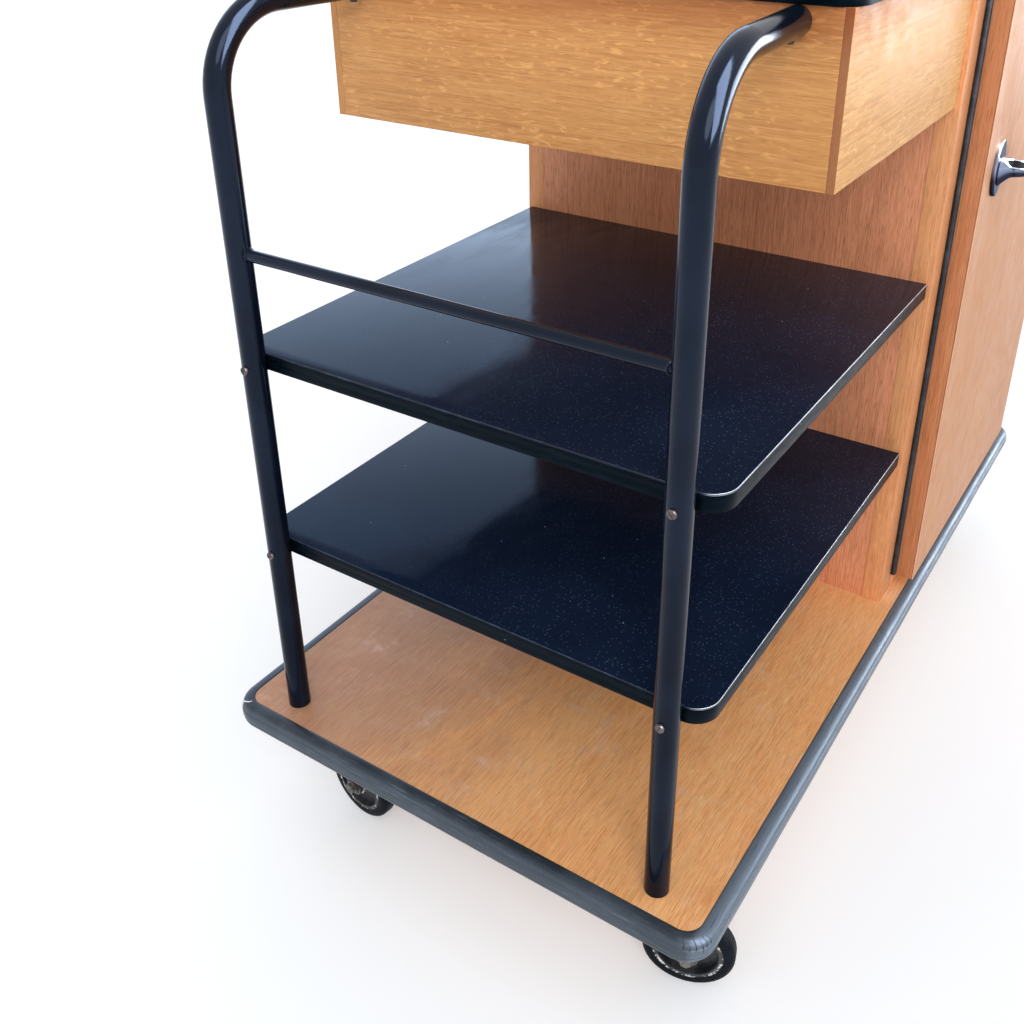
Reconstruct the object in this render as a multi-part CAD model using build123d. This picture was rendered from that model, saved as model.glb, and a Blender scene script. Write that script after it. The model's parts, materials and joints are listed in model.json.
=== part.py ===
from build123d import *
import os

# A hostess trolley: a bumpered oak deck on four swivel castors, two bent steel push tubes, two black
# shelves, a drawer box and a gasketed cupboard under one black worktop.
# Everything is in millimetres. X runs from the push end (-X) to the cupboard end (+X). The door is on
# the -Y side and the drawer opens to the +Y side. Z is up from the floor. The pieces are drawn about the
# centre line of the deck, and write() moves them so that the origin is at the bottom centre of the whole.

# Deck and bumper
deck_length = 1162
deck_width = 584
deck_thickness = 32
deck_corner_radius = 18
bumper_bulge = 17
batten_thickness = 22
batten_width = 84
batten_side_inset = 30

# Castors
wheel_diameter = 100
tyre_width = 22
tyre_shoulder_radius = 7
rim_diameter = 76
rim_wall = 5
web_thickness = 6
hub_diameter = 28
hub_length = 26
axle_diameter = 8
axle_head_diameter = 15
axle_head_height = 3
kingpin_wheel_gap = 5.4
castor_trail = 30
castor_inset_x = 80
castor_inset_y = 70
castor_plate_length = 70
castor_plate_width = 92
castor_plate_thickness = 4
castor_screw_spacing_x = 52
castor_screw_spacing_y = 74
race_diameter = 44
race_height = 6
crown_diameter = 46
crown_height = 16
crown_web_height = 6
kingpin_diameter = 12
kingpin_head_diameter = 22
kingpin_head_height = 4
fork_leg_thickness = 4
fork_boss_diameter = 25
fork_back_reach = 21
castor_screw_diameter = 5
castor_screw_length = 18
castor_screw_head_diameter = 9
castor_screw_head_height = 3
# Where each castor points at rest: the turn from +X to its trailing wheel, in degrees
castor_turns = {
    "push_door": -73,
    "push_drawer": -98,
    "far_door": 84,
    "far_drawer": 104,
}

# Push tubes, tie rail and their fixings
tube_diameter = 25
tube_wall = 1.5
tube_inset_x = 29
tube_inset_y = 55
tube_toe_in = 13
tube_bend_radius = 78
rail_diameter = 12
rail_above_deck = 559
foot_plug_height = 30
stud_diameter = 8
nut_width = 13
nut_height = 6.5
spigot_length = 45
spigot_screw_diameter = 5
spigot_screw_length = 9
spigot_screw_setback = 14

# Shelves
shelf_tube_margin = 33
shelf_corner_radius = 25
board_thickness = 16
sheet_thickness = 2
sheet_lip = 0.4
lower_shelf_above_deck = 226
upper_shelf_above_deck = 449
shelf_screw_diameter = 4
shelf_screw_grip = 24
shelf_screw_head_diameter = 9
shelf_screw_head_height = 3
shelf_screw_head_round = 1.6
dowel_diameter = 8
dowel_length = 30
dowel_panel_depth = 12
dowels_per_shelf = 3

# Cupboard carcass
cupboard_length = 563
cupboard_side_inset = 17
cupboard_height = 795
cupboard_end_inset = 17
post_length = 44
post_width = 24.6
end_panel_thickness = 18
back_panel_thickness = 12
floor_panel_thickness = 12
front_rail_overlap = 16
inner_shelf_thickness = 12
inner_shelf_above_deck = 380
inner_shelf_setback = 46
shelf_pin_diameter = 6
shelf_pin_reach = 9
shelf_pin_depth = 8
shelf_pin_inset = 60

# Door, seal, hinges
door_reveal = 40.6
door_foot_gap = 22
door_head_gap = 22
door_thickness = 22.5
door_face_veneer = 1.2
door_lipping_width = 7
seal_height = 5.5
seal_bulb_diameter = 6.5
seal_bulb_end_gap = 4
seal_tail_width = 14
hinge_height = 64
hinge_middle_share = 0.4
hinge_inset_z = 90
hinge_leaf_thickness = 3
hinge_leaf_margin = 1
hinge_barrel_radius = 5
hinge_pin_radius = 2.5
hinge_axis_offset = 7
hinge_axis_setback = 7.3

# Latch
latch_inset = 51.4
latch_above_deck = 567
rose_width = 40
rose_height = 66
rose_thickness = 5
rose_edge_round = 2
neck_root_width = 20
neck_root_height = 34
neck_reach = 34
neck_tip_share = 0.9
lever_length = 118
lever_width = 15
lever_height = 19
lever_tip_share = 0.7
inlay_thickness = 1.6
inlay_width = 8
inlay_length = 84
spindle_diameter = 8
spindle_grip = 22
tongue_length = 60
tongue_width = 18
tongue_thickness = 4
tongue_gap = 0.7

# Worktop and drawer box
box_setback = 188.6
box_tube_margin = 32.7
box_height = 146
box_end_thickness = 12
box_side_thickness = 7.5
box_bottom_thickness = 8
worktop_overhang = 3.3
drawer_guide_width = 10
drawer_guide_height = 12
drawer_back_gap = 44.4
drawer_wall = 10
drawer_wall_height = 110
drawer_bottom_thickness = 5
drawer_bottom_rise = 6
pull_diameter = 28
pull_reach = 24
pull_neck_diameter = 12
pull_cap_height = 10
pull_round = 3

# Clearances
running_gap = 0.05
press_gap = 0.02
side_gap = 0.4
face_gap = 0.3
drawer_gap = 0.5
panel_gap = 0.8
overrun = 5

# Levels
axle_level = wheel_diameter / 2
castor_head_height = kingpin_head_height + crown_height + race_height + castor_plate_thickness + 2 * face_gap
castor_height = wheel_diameter + kingpin_wheel_gap + castor_head_height
batten_bottom = castor_height
deck_bottom = batten_bottom + batten_thickness
deck_top = deck_bottom + deck_thickness
plate_bottom = castor_height - castor_plate_thickness
castor_screw_top = plate_bottom - castor_screw_head_height + castor_screw_length
worktop_bottom = deck_top + cupboard_height
worktop_sheet_bottom = worktop_bottom + board_thickness
box_bottom = worktop_bottom - box_height
tube_radius = tube_diameter / 2
tube_bore_radius = tube_radius - tube_wall
tube_top_level = worktop_bottom - tube_radius - face_gap
rail_level = deck_top + rail_above_deck

# Widths that follow the deck
tube_spacing = deck_width - 2 * tube_inset_y
shelf_width = tube_spacing + 2 * shelf_tube_margin
cupboard_width = deck_width - 2 * cupboard_side_inset
box_width = tube_spacing + 2 * box_tube_margin

# Places along X and Y, about the middle of the deck
push_edge = -deck_length / 2
far_edge = deck_length / 2
tube_x = push_edge + tube_inset_x
tube_y = tube_spacing / 2
shelf_front = tube_x + tube_radius + face_gap
cupboard_far = far_edge - cupboard_end_inset
cupboard_push = cupboard_far - cupboard_length
cupboard_half = cupboard_width / 2
opening_push = cupboard_push + post_length
opening_far = cupboard_far - post_length
post_inner_y = cupboard_half - post_width
box_front = tube_x + box_setback
box_half = box_width / 2
door_push = cupboard_push + door_reveal
door_far = cupboard_far - door_reveal
door_bottom = deck_top + door_foot_gap
door_top = worktop_bottom - door_head_gap
door_back_y = -(cupboard_half + seal_height + face_gap)
door_front_y = door_back_y - door_thickness
hinge_axis_x = door_far + hinge_axis_offset
hinge_axis_y = door_front_y + hinge_axis_setback
latch_x = door_push + latch_inset
latch_z = deck_top + latch_above_deck
rose_front_y = door_front_y - rose_thickness
lever_axis_y = rose_front_y - face_gap - neck_reach
lever_outer_y = lever_axis_y - lever_width / 2
spindle_end_y = rose_front_y - face_gap - spindle_grip
castor_x = far_edge - castor_inset_x
castor_y = deck_width / 2 - castor_inset_y
fork_inner = hub_length / 2 + side_gap
fork_outer = fork_inner + fork_leg_thickness
castor_places = {
    "push_door": (-castor_x, -castor_y),
    "push_drawer": (-castor_x, castor_y),
    "far_door": (castor_x, -castor_y),
    "far_drawer": (castor_x, castor_y),
}

# The lever reaches further on one side than the bumper does on the other
deck_mid_y = (-lever_outer_y - deck_width / 2 - bumper_bulge) / 2


# Shapes used by many pieces
def slab(x0, x1, y0, y1, z0, z1):
    middle = Pos((x0 + x1) / 2, (y0 + y1) / 2, (z0 + z1) / 2)
    return middle * Box(x1 - x0, y1 - y0, z1 - z0)


def rod(radius, start, end):
    path = Vector(end) - Vector(start)
    plane = Plane(origin=start, z_dir=path.normalized())
    return extrude(plane * Circle(radius), amount=path.length)


def rounded_board(x0, x1, half_width, corner_radius, bottom, thickness, rear_square):
    """A flat board with round corners at its -X end, and square ones at its +X end if asked."""
    plan = Rectangle(x1 - x0, 2 * half_width)
    corners = plan.vertices().sort_by(Axis.X)
    plan = fillet(corners[:2] if rear_square else corners, corner_radius)
    return Pos((x0 + x1) / 2, 0, bottom) * extrude(plan, amount=thickness)


def hexagon_nut(plane):
    return extrude(plane * RegularPolygon(nut_width / 2, 6, major_radius=False), amount=nut_height)


os.makedirs("parts", exist_ok=True)


def write(name, *pieces):
    shift = Location((0, deck_mid_y, 0))
    solids = [solid.moved(shift) for piece in pieces for solid in piece.solids()]
    shape = solids[0] if len(solids) == 1 else Compound(children=solids)
    export_step(shape, f"parts/{name}.step")


# Deck: the veneered board, the rubber bumper round its edge and the two battens under it
def foot_stud_holes():
    for side in (-1, 1):
        start = (tube_x, side * tube_y, deck_bottom - overrun)
        end = (tube_x, side * tube_y, deck_top + overrun)
        yield rod(stud_diameter / 2 + side_gap, start, end)


def deck_board():
    plan = RectangleRounded(deck_length, deck_width, deck_corner_radius)
    board = Pos(0, 0, deck_bottom) * extrude(plan, amount=deck_thickness)
    for hole in foot_stud_holes():
        board -= hole
    return board


def deck_bumper():
    """A half oval section carried round the edge of the board."""
    path_length = deck_length + 2 * press_gap
    path_width = deck_width + 2 * press_gap
    path = RectangleRounded(path_length, path_width, deck_corner_radius + press_gap).wire()
    middle = deck_bottom + deck_thickness / 2
    section = Plane(origin=(0, -path_width / 2, middle), x_dir=(0, -1, 0), z_dir=(1, 0, 0))
    oval = Ellipse(bumper_bulge, deck_thickness / 2)
    half = oval & Pos(bumper_bulge / 2, 0) * Rectangle(bumper_bulge, deck_thickness)
    return sweep(section * half, path=Pos(0, 0, middle) * path)


def castor_screw_spots(x, y):
    """The four screws round one castor."""
    for along in (-1, 1):
        for across in (-1, 1):
            yield x + along * castor_screw_spacing_x / 2, y + across * castor_screw_spacing_y / 2


def deck_batten(side):
    half = deck_width / 2 - batten_side_inset
    middle = side * castor_x
    x0, x1 = middle - batten_width / 2, middle + batten_width / 2
    batten = slab(x0, x1, -half, half, batten_bottom, deck_bottom)
    for y in (-castor_y, castor_y):
        for spot_x, spot_y in castor_screw_spots(middle, y):
            start = (spot_x, spot_y, batten_bottom - overrun)
            batten -= rod(castor_screw_diameter / 2 + press_gap, start, (spot_x, spot_y, castor_screw_top))
    return batten


write("deck_board", deck_board())
write("deck_bumper", deck_bumper())
write("deck_battens", *[deck_batten(side) for side in (-1, 1)])


# Castors: plate with its kingpin, fork with its riveted axle, pressed wheel and rubber tyre
race_bottom = plate_bottom - race_height
crown_top = race_bottom - face_gap
crown_bottom = crown_top - crown_height
kingpin_head_top = crown_bottom - face_gap


def castor_plate(x, y):
    half_length, half_width = castor_plate_length / 2, castor_plate_width / 2
    x0, x1, y0, y1 = x - half_length, x + half_length, y - half_width, y + half_width
    plate = slab(x0, x1, y0, y1, plate_bottom, castor_height)
    plate += rod(race_diameter / 2, (x, y, race_bottom), (x, y, castor_height))
    plate += rod(kingpin_diameter / 2, (x, y, kingpin_head_top), (x, y, castor_height))
    head_bottom = kingpin_head_top - kingpin_head_height
    plate += rod(kingpin_head_diameter / 2, (x, y, head_bottom), (x, y, kingpin_head_top))
    for spot_x, spot_y in castor_screw_spots(x, y):
        start = (spot_x, spot_y, plate_bottom - overrun)
        end = (spot_x, spot_y, castor_height + overrun)
        plate -= rod(castor_screw_diameter / 2 + side_gap, start, end)
    return plate


def castor_screw(x, y):
    head_bottom = plate_bottom - castor_screw_head_height
    head = rod(castor_screw_head_diameter / 2, (x, y, head_bottom), (x, y, plate_bottom))
    return head + rod(castor_screw_diameter / 2, (x, y, plate_bottom), (x, y, castor_screw_top))


def castor_fork():
    """Drawn with the kingpin on the Z axis and the wheel trailing towards +X."""
    half_boss = fork_boss_diameter / 2
    leg_top = crown_bottom + crown_web_height
    outline = Polyline(
        (-fork_back_reach, leg_top),
        (fork_back_reach, leg_top),
        (castor_trail + half_boss, axle_level),
        (castor_trail - half_boss, axle_level),
        close=True,
    )
    leg = extrude(Plane.XZ * make_face(outline), amount=fork_leg_thickness)
    leg += rod(half_boss, (castor_trail, 0, axle_level), (castor_trail, -fork_leg_thickness, axle_level))
    fork = Pos(0, -fork_inner, 0) * leg + Pos(0, fork_outer, 0) * leg
    fork += slab(-fork_back_reach, fork_back_reach, -fork_outer, fork_outer, crown_bottom, leg_top)
    fork += rod(crown_diameter / 2, (0, 0, crown_bottom), (0, 0, crown_top))
    pin_hole_start = (0, 0, crown_bottom - overrun)
    fork -= rod(kingpin_diameter / 2 + running_gap, pin_hole_start, (0, 0, crown_top + overrun))
    for side in (-1, 1):
        start = (castor_trail, side * fork_outer, axle_level)
        fork += rod(axle_diameter / 2, (castor_trail, 0, axle_level), start)
        end = (castor_trail, side * (fork_outer + axle_head_height), axle_level)
        fork += rod(axle_head_diameter / 2, start, end)
    return fork


def castor_wheel():
    half_hub = hub_length / 2
    half_rim = tyre_width / 2 - side_gap
    centre = (castor_trail, 0, axle_level)

    def across(radius, y0, y1):
        return rod(radius, (centre[0], y0, centre[2]), (centre[0], y1, centre[2]))

    wheel = across(rim_diameter / 2, -half_rim, half_rim)
    for side in (-1, 1):
        face, web = side * (half_rim + overrun), side * web_thickness / 2
        wheel -= across(rim_diameter / 2 - rim_wall, face, web)
    wheel += across(hub_diameter / 2, -half_hub, half_hub)
    return wheel - across(axle_diameter / 2 + running_gap, -hub_length, hub_length)


def castor_tyre():
    half = tyre_width / 2
    start, end = (castor_trail, -half, axle_level), (castor_trail, half, axle_level)
    disc = rod(wheel_diameter / 2, start, end)
    tyre = fillet(disc.edges().filter_by(GeomType.CIRCLE), tyre_shoulder_radius)
    bore_start = (castor_trail, -tyre_width, axle_level)
    return tyre - rod(rim_diameter / 2 + press_gap, bore_start, (castor_trail, tyre_width, axle_level))


write("castor_plates", *[castor_plate(x, y) for x, y in castor_places.values()])
screw_spots = [spot for centre in castor_places.values() for spot in castor_screw_spots(*centre)]
for place, (x, y) in castor_places.items():
    stand = Pos(x, y, 0) * Rot(0, 0, castor_turns[place])
    write(f"castor_fork_{place}", stand * castor_fork())
    write(f"castor_wheel_{place}", stand * castor_wheel())
    write(f"castor_tyre_{place}", stand * castor_tyre())
write("castor_screws", *[castor_screw(*spot) for spot in screw_spots])


# Push tubes: each rises from the deck, bends over, leans in a little and butts against the drawer box
upper_board_bottom = deck_top + upper_shelf_above_deck - sheet_thickness - board_thickness
lower_board_bottom = deck_top + lower_shelf_above_deck - sheet_thickness - board_thickness
board_bottoms = (lower_board_bottom, upper_board_bottom)
spigot_screw_x = box_front - spigot_screw_setback
box_space = slab(box_front, cupboard_push, -box_half, box_half, box_bottom, worktop_bottom)


def shelf_screw_axis(side, bottom, reach):
    level = bottom + board_thickness / 2
    start = (tube_x - tube_radius, side * tube_y, level)
    return start, (start[0] + reach, start[1], level)


def tube_top_point(side, x):
    """A point on the centre line of the top run of a tube."""
    lean = tube_toe_in * (x - tube_x) / (box_front - tube_x)
    return (x, side * (tube_y - lean), tube_top_level)


def spigot_screw_axis(side, reach):
    x, y, level = tube_top_point(side, spigot_screw_x)
    return (x, y, level - tube_radius), (x, y, level - tube_radius + reach)


def upright(side):
    y = side * tube_y
    corners = [(tube_x, y, deck_top), (tube_x, y, tube_top_level), tube_top_point(side, box_front + overrun)]
    path = FilletPolyline(*corners, radius=tube_bend_radius)
    foot = Plane(origin=corners[0], z_dir=(0, 0, 1))
    tube = sweep(foot * Circle(tube_radius), path=path) - sweep(foot * Circle(tube_bore_radius), path=path)
    tube -= box_space
    for bottom in board_bottoms:
        start, end = shelf_screw_axis(side, bottom, tube_diameter + overrun)
        tube -= rod(shelf_screw_diameter / 2 + running_gap, (start[0] - overrun, start[1], start[2]), end)
    start, end = spigot_screw_axis(side, tube_radius)
    return tube - rod(spigot_screw_diameter / 2 + running_gap, (start[0], start[1], start[2] - overrun), end)


def tie_rail():
    rail = rod(rail_diameter / 2, (tube_x, -tube_y, rail_level), (tube_x, tube_y, rail_level))
    for side in (-1, 1):
        start = (tube_x, side * tube_y, rail_level - tube_diameter)
        rail -= rod(tube_radius + press_gap, start, (start[0], start[1], rail_level + tube_diameter))
    return rail


def foot_stud(side):
    """A plug inside the foot of the tube, with its stud through the deck and the nut below."""
    x, y = tube_x, side * tube_y
    stud = rod(tube_bore_radius - running_gap, (x, y, deck_top), (x, y, deck_top + foot_plug_height))
    stud += rod(stud_diameter / 2, (x, y, deck_bottom - nut_height), (x, y, deck_top))
    return stud + hexagon_nut(Plane(origin=(x, y, deck_bottom - nut_height), z_dir=(0, 0, 1)))


def top_spigot(side):
    """A plug inside the top of the tube, with its stud through the end of the drawer box."""
    inner = box_front + box_end_thickness
    start, end = tube_top_point(side, box_front - spigot_length), tube_top_point(side, box_front + overrun)
    spigot = rod(tube_bore_radius - running_gap, start, end) - box_space
    spigot -= rod(spigot_screw_diameter / 2 + running_gap, *spigot_screw_axis(side, spigot_screw_length))
    face_x, y, z = tube_top_point(side, box_front)
    spigot += rod(stud_diameter / 2, (face_x, y, z), (inner + nut_height, y, z))
    return spigot + hexagon_nut(Plane(origin=(inner, y, z), z_dir=(1, 0, 0)))


def shelf_screw(side, bottom):
    start, end = shelf_screw_axis(side, bottom, tube_diameter + shelf_screw_grip)
    head_face = (start[0] - shelf_screw_head_height, start[1], start[2])
    head = rod(shelf_screw_head_diameter / 2, head_face, start)
    head = fillet(head.edges().filter_by(GeomType.CIRCLE).sort_by(Axis.X)[0], shelf_screw_head_round)
    return head + rod(shelf_screw_diameter / 2, start, end)


write("upright_door_side", upright(-1))
write("upright_drawer_side", upright(1))
write("tie_rail", tie_rail())
write("upright_foot_studs", *[foot_stud(side) for side in (-1, 1)])
write("upright_top_spigots", *[top_spigot(side) for side in (-1, 1)])
spigot_screw_axes = [spigot_screw_axis(side, spigot_screw_length) for side in (-1, 1)]
write("spigot_screws", *[rod(spigot_screw_diameter / 2, *axis) for axis in spigot_screw_axes])
write("shelf_screws", *[shelf_screw(side, bottom) for bottom in board_bottoms for side in (-1, 1)])


# Shelves: a black board, a thin black sheet on top and dowels into the end of the cupboard
def dowel_axes(bottom):
    level = bottom + board_thickness / 2
    pitch = shelf_width / dowels_per_shelf
    for number in range(dowels_per_shelf):
        y = (number + 0.5) * pitch - shelf_width / 2
        start = (cupboard_push + dowel_panel_depth, y, level)
        yield start, (start[0] - dowel_length, y, level)


def shelf_core(bottom):
    board = rounded_board(
        shelf_front, cupboard_push, shelf_width / 2, shelf_corner_radius, bottom, board_thickness, True
    )
    for side in (-1, 1):
        axis = shelf_screw_axis(side, bottom, tube_diameter + shelf_screw_grip)
        board -= rod(shelf_screw_diameter / 2 + running_gap, *axis)
    for start, end in dowel_axes(bottom):
        board -= rod(dowel_diameter / 2 + press_gap, start, end)
    return board


def shelf_sheet(bottom):
    half = shelf_width / 2 + sheet_lip
    top = bottom + board_thickness
    radius = shelf_corner_radius + sheet_lip
    return rounded_board(shelf_front, cupboard_push, half, radius, top, sheet_thickness, True)


for level_name, bottom in zip(("lower", "upper"), board_bottoms):
    write(f"{level_name}_shelf_core", shelf_core(bottom))
    write(f"{level_name}_shelf_sheet", shelf_sheet(bottom))
shelf_dowels = [rod(dowel_diameter / 2, *ends) for bottom in board_bottoms for ends in dowel_axes(bottom)]
write("shelf_dowels", *shelf_dowels)


# Cupboard: four corner posts with the panels between them
inner_shelf_bottom = deck_top + inner_shelf_above_deck
post_faces = ((cupboard_push, opening_push), (opening_far, cupboard_far))
posts = [
    slab(x0, x1, y0, y1, deck_top, worktop_bottom)
    for x0, x1 in post_faces
    for y0, y1 in ((-cupboard_half, -post_inner_y), (post_inner_y, cupboard_half))
]


def push_panel():
    x1 = cupboard_push + end_panel_thickness
    panel = slab(cupboard_push, x1, -post_inner_y, post_inner_y, deck_top, worktop_bottom)
    for bottom in board_bottoms:
        for start, end in dowel_axes(bottom):
            panel -= rod(dowel_diameter / 2 + press_gap, start, end)
    for axis in shelf_pin_axes(1):
        panel -= rod(shelf_pin_diameter / 2 + press_gap, *axis)
    return panel


def far_panel():
    x0 = cupboard_far - end_panel_thickness
    panel = slab(x0, cupboard_far, -post_inner_y, post_inner_y, deck_top, worktop_bottom)
    for axis in shelf_pin_axes(-1):
        panel -= rod(shelf_pin_diameter / 2 + press_gap, *axis)
    return panel


def shelf_pin_axes(direction):
    """Pins of one end: direction is the way they point, into the cupboard."""
    wall = cupboard_push if direction > 0 else cupboard_far
    face = wall + direction * end_panel_thickness
    level = inner_shelf_bottom - shelf_pin_diameter / 2
    for side in (-1, 1):
        y = side * (post_inner_y - shelf_pin_inset)
        yield (face - direction * shelf_pin_depth, y, level), (face + direction * shelf_pin_reach, y, level)


def inside_board(bottom, thickness, front_y):
    """A board inside the cupboard, cut round the posts."""
    x0, x1 = cupboard_push + end_panel_thickness, cupboard_far - end_panel_thickness
    board = slab(x0, x1, front_y, cupboard_half - back_panel_thickness, bottom, bottom + thickness)
    for post in posts:
        board -= post
    return board


def front_rail(z0, z1):
    return slab(opening_push, opening_far, -cupboard_half, -post_inner_y, z0, z1)


back_panel = slab(
    opening_push, opening_far, cupboard_half - back_panel_thickness, cupboard_half, deck_top, worktop_bottom
)
bottom_rail = front_rail(deck_top, door_bottom + front_rail_overlap)
top_rail = front_rail(door_top - front_rail_overlap, worktop_bottom)
write("cabinet_posts", *posts)
write("cabinet_push_panel", push_panel())
write("cabinet_far_panel", far_panel())
write("cabinet_back_panel", back_panel)
write("cabinet_front_rails", bottom_rail, top_rail)
write("cabinet_floor_panel", inside_board(deck_top, floor_panel_thickness, -post_inner_y))
inner_shelf_front = inner_shelf_setback - cupboard_half
write("cabinet_shelf", inside_board(inner_shelf_bottom, inner_shelf_thickness, inner_shelf_front))
shelf_pins = [rod(shelf_pin_diameter / 2, *axis) for way in (1, -1) for axis in shelf_pin_axes(way)]
write("cabinet_shelf_pins", *shelf_pins)


# Door seal: four rubber strips on the carcass, the latch side one with its bulb outside the door
def door_seal():
    y0, y1 = -cupboard_half - seal_height, -cupboard_half
    bulb_radius = seal_bulb_diameter / 2
    bulb_x = door_push - bulb_radius - side_gap
    latch_tail = slab(bulb_x, door_push + seal_tail_width, y0, y1, door_bottom, door_top)
    bulb_y = y1 - bulb_radius
    bulb_ends = door_bottom + seal_bulb_end_gap, door_top - seal_bulb_end_gap
    latch_side = latch_tail + rod(bulb_radius, *[(bulb_x, bulb_y, z) for z in bulb_ends])
    hinge_tail = slab(door_far - seal_tail_width, door_far, y0, y1, door_bottom, door_top)
    x0, x1 = door_push + seal_tail_width + side_gap, door_far - seal_tail_width - side_gap
    foot = slab(x0, x1, y0, y1, door_bottom, door_bottom + seal_tail_width)
    head = slab(x0, x1, y0, y1, door_top - seal_tail_width, door_top)
    return latch_side, hinge_tail, foot, head


write("door_gasket", *door_seal())


# Door: a core with its lipping round it and a pale veneer over the front
core_front_y = door_front_y + door_face_veneer
spindle_hole_start = (latch_x, door_back_y + overrun, latch_z)
spindle_hole = rod(spindle_diameter / 2 + running_gap, spindle_hole_start, (latch_x, lever_outer_y, latch_z))
inner_door = (
    door_push + door_lipping_width,
    door_far - door_lipping_width,
    core_front_y,
    door_back_y,
    door_bottom + door_lipping_width,
    door_top - door_lipping_width,
)
door_core = slab(*inner_door)
door_lipping = slab(door_push, door_far, core_front_y, door_back_y, door_bottom, door_top) - door_core
door_veneer = slab(door_push, door_far, door_front_y, core_front_y, door_bottom, door_top)
write("door_core", door_core - spindle_hole)
write("door_lipping", door_lipping)
write("door_veneer", door_veneer - spindle_hole)


# Hinges: cranked frame leaves, thin leaves on the far edge of the door and the pins between them
middle_half = hinge_height * hinge_middle_share / 2
hinge_levels = (door_bottom + hinge_inset_z, door_top - hinge_inset_z)


def barrel(level, low, high):
    start = (hinge_axis_x, hinge_axis_y, level + low)
    return rod(hinge_barrel_radius, start, (hinge_axis_x, hinge_axis_y, level + high))


def pin_hole(level):
    start = (hinge_axis_x, hinge_axis_y, level - hinge_height)
    end = (hinge_axis_x, hinge_axis_y, level + hinge_height)
    return rod(hinge_pin_radius + running_gap, start, end)


def frame_leaf(level):
    half = hinge_height / 2
    inner_x = hinge_axis_x - hinge_barrel_radius / 2
    web_x = hinge_axis_x + hinge_barrel_radius / 2
    outer_x = cupboard_far - hinge_leaf_thickness
    leaf_y = -cupboard_half - hinge_leaf_thickness
    leaf = slab(inner_x, outer_x, leaf_y, -cupboard_half, level - half, level + half)
    for low, high in ((-half, -middle_half - face_gap), (middle_half + face_gap, half)):
        leaf += slab(inner_x, web_x, hinge_axis_y, leaf_y, level + low, level + high)
        leaf += barrel(level, low, high)
    return leaf - pin_hole(level)


def door_leaf(level):
    half = hinge_height / 2
    y0, y1 = door_front_y + hinge_leaf_margin, door_back_y - hinge_leaf_margin
    plate_far = hinge_axis_x - hinge_barrel_radius - face_gap
    arm_y0, arm_y1 = hinge_axis_y - hinge_leaf_thickness / 2, hinge_axis_y + hinge_leaf_thickness / 2
    leaf = slab(door_far, plate_far, y0, y1, level - half, level + half)
    leaf += slab(plate_far, hinge_axis_x, arm_y0, arm_y1, level - middle_half, level + middle_half)
    leaf += barrel(level, -middle_half, middle_half)
    return leaf - pin_hole(level)


def hinge_pin(level):
    half = hinge_height / 2
    start = (hinge_axis_x, hinge_axis_y, level - half)
    return rod(hinge_pin_radius, start, (hinge_axis_x, hinge_axis_y, level + half))


write("hinge_frame_leaves", *[frame_leaf(level) for level in hinge_levels])
write("hinge_door_leaves", *[door_leaf(level) for level in hinge_levels])
write("hinge_pins", *[hinge_pin(level) for level in hinge_levels])


# Latch: an oval rose, a flared neck carrying the lever, and the spindle with its tongue behind the post
def facing(y):
    """A plane at y whose normal points away from the front of the door."""
    return Plane(origin=(latch_x, y, latch_z), x_dir=(1, 0, 0), z_dir=(0, -1, 0))


def handle_rose():
    plate = extrude(facing(door_front_y) * Ellipse(rose_width / 2, rose_height / 2), amount=rose_thickness)
    rim = plate.edges().sort_by(Axis.Y)[0]
    return fillet(rim, rose_edge_round) - spindle_hole


def lever_section(x, share):
    plane = Plane(origin=(x, lever_axis_y, latch_z), x_dir=(0, 1, 0), z_dir=(1, 0, 0))
    return plane * Ellipse(share * lever_width / 2, share * lever_height / 2)


def inlay_block(grow):
    top = latch_z + lever_height / 2
    half = inlay_width / 2 + grow
    x0 = latch_x + lever_width / 2 - grow
    x1 = x0 + inlay_length + 2 * grow
    return slab(x0, x1, lever_axis_y - half, lever_axis_y + half, top - 2 * inlay_thickness - grow, top)


def lever_body():
    root = facing(rose_front_y - face_gap) * Ellipse(neck_root_width / 2, neck_root_height / 2)
    tip_width, tip_height = neck_tip_share * lever_width, neck_tip_share * lever_height
    tip = facing(lever_axis_y) * Ellipse(tip_width / 2, tip_height / 2)
    start = lever_section(latch_x - lever_width / 2, 1)
    end = lever_section(latch_x + lever_length, lever_tip_share)
    return loft([root, tip]) + loft([start, end])


def latch_lever():
    bore_end = (latch_x, spindle_end_y - press_gap, latch_z)
    bore = rod(spindle_diameter / 2 + press_gap, (latch_x, rose_front_y, latch_z), bore_end)
    return lever_body() - bore - inlay_block(press_gap)


tongue_front_y = -post_inner_y + tongue_gap
tongue_back_y = tongue_front_y + tongue_thickness


def latch_tongue():
    """Hangs down when the lever is level, and turns behind the post when the lever is turned down."""
    half = tongue_width / 2
    tip_z = latch_z - tongue_length + half
    tongue = slab(latch_x - half, latch_x + half, tongue_front_y, tongue_back_y, tip_z, latch_z)
    for z in (latch_z, tip_z):
        tongue += rod(half, (latch_x, tongue_front_y, z), (latch_x, tongue_back_y, z))
    start, end = (latch_x, tongue_front_y - overrun, latch_z), (latch_x, tongue_back_y + overrun, latch_z)
    return tongue - rod(spindle_diameter / 2 + press_gap, start, end)


write("handle_rose", handle_rose())
write("latch_lever", latch_lever())
write("lever_inlay", lever_body() & inlay_block(0))
spindle_ends = (latch_x, tongue_back_y, latch_z), (latch_x, spindle_end_y, latch_z)
write("latch_spindle", rod(spindle_diameter / 2, *spindle_ends))
write("latch_tongue", latch_tongue())


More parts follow.
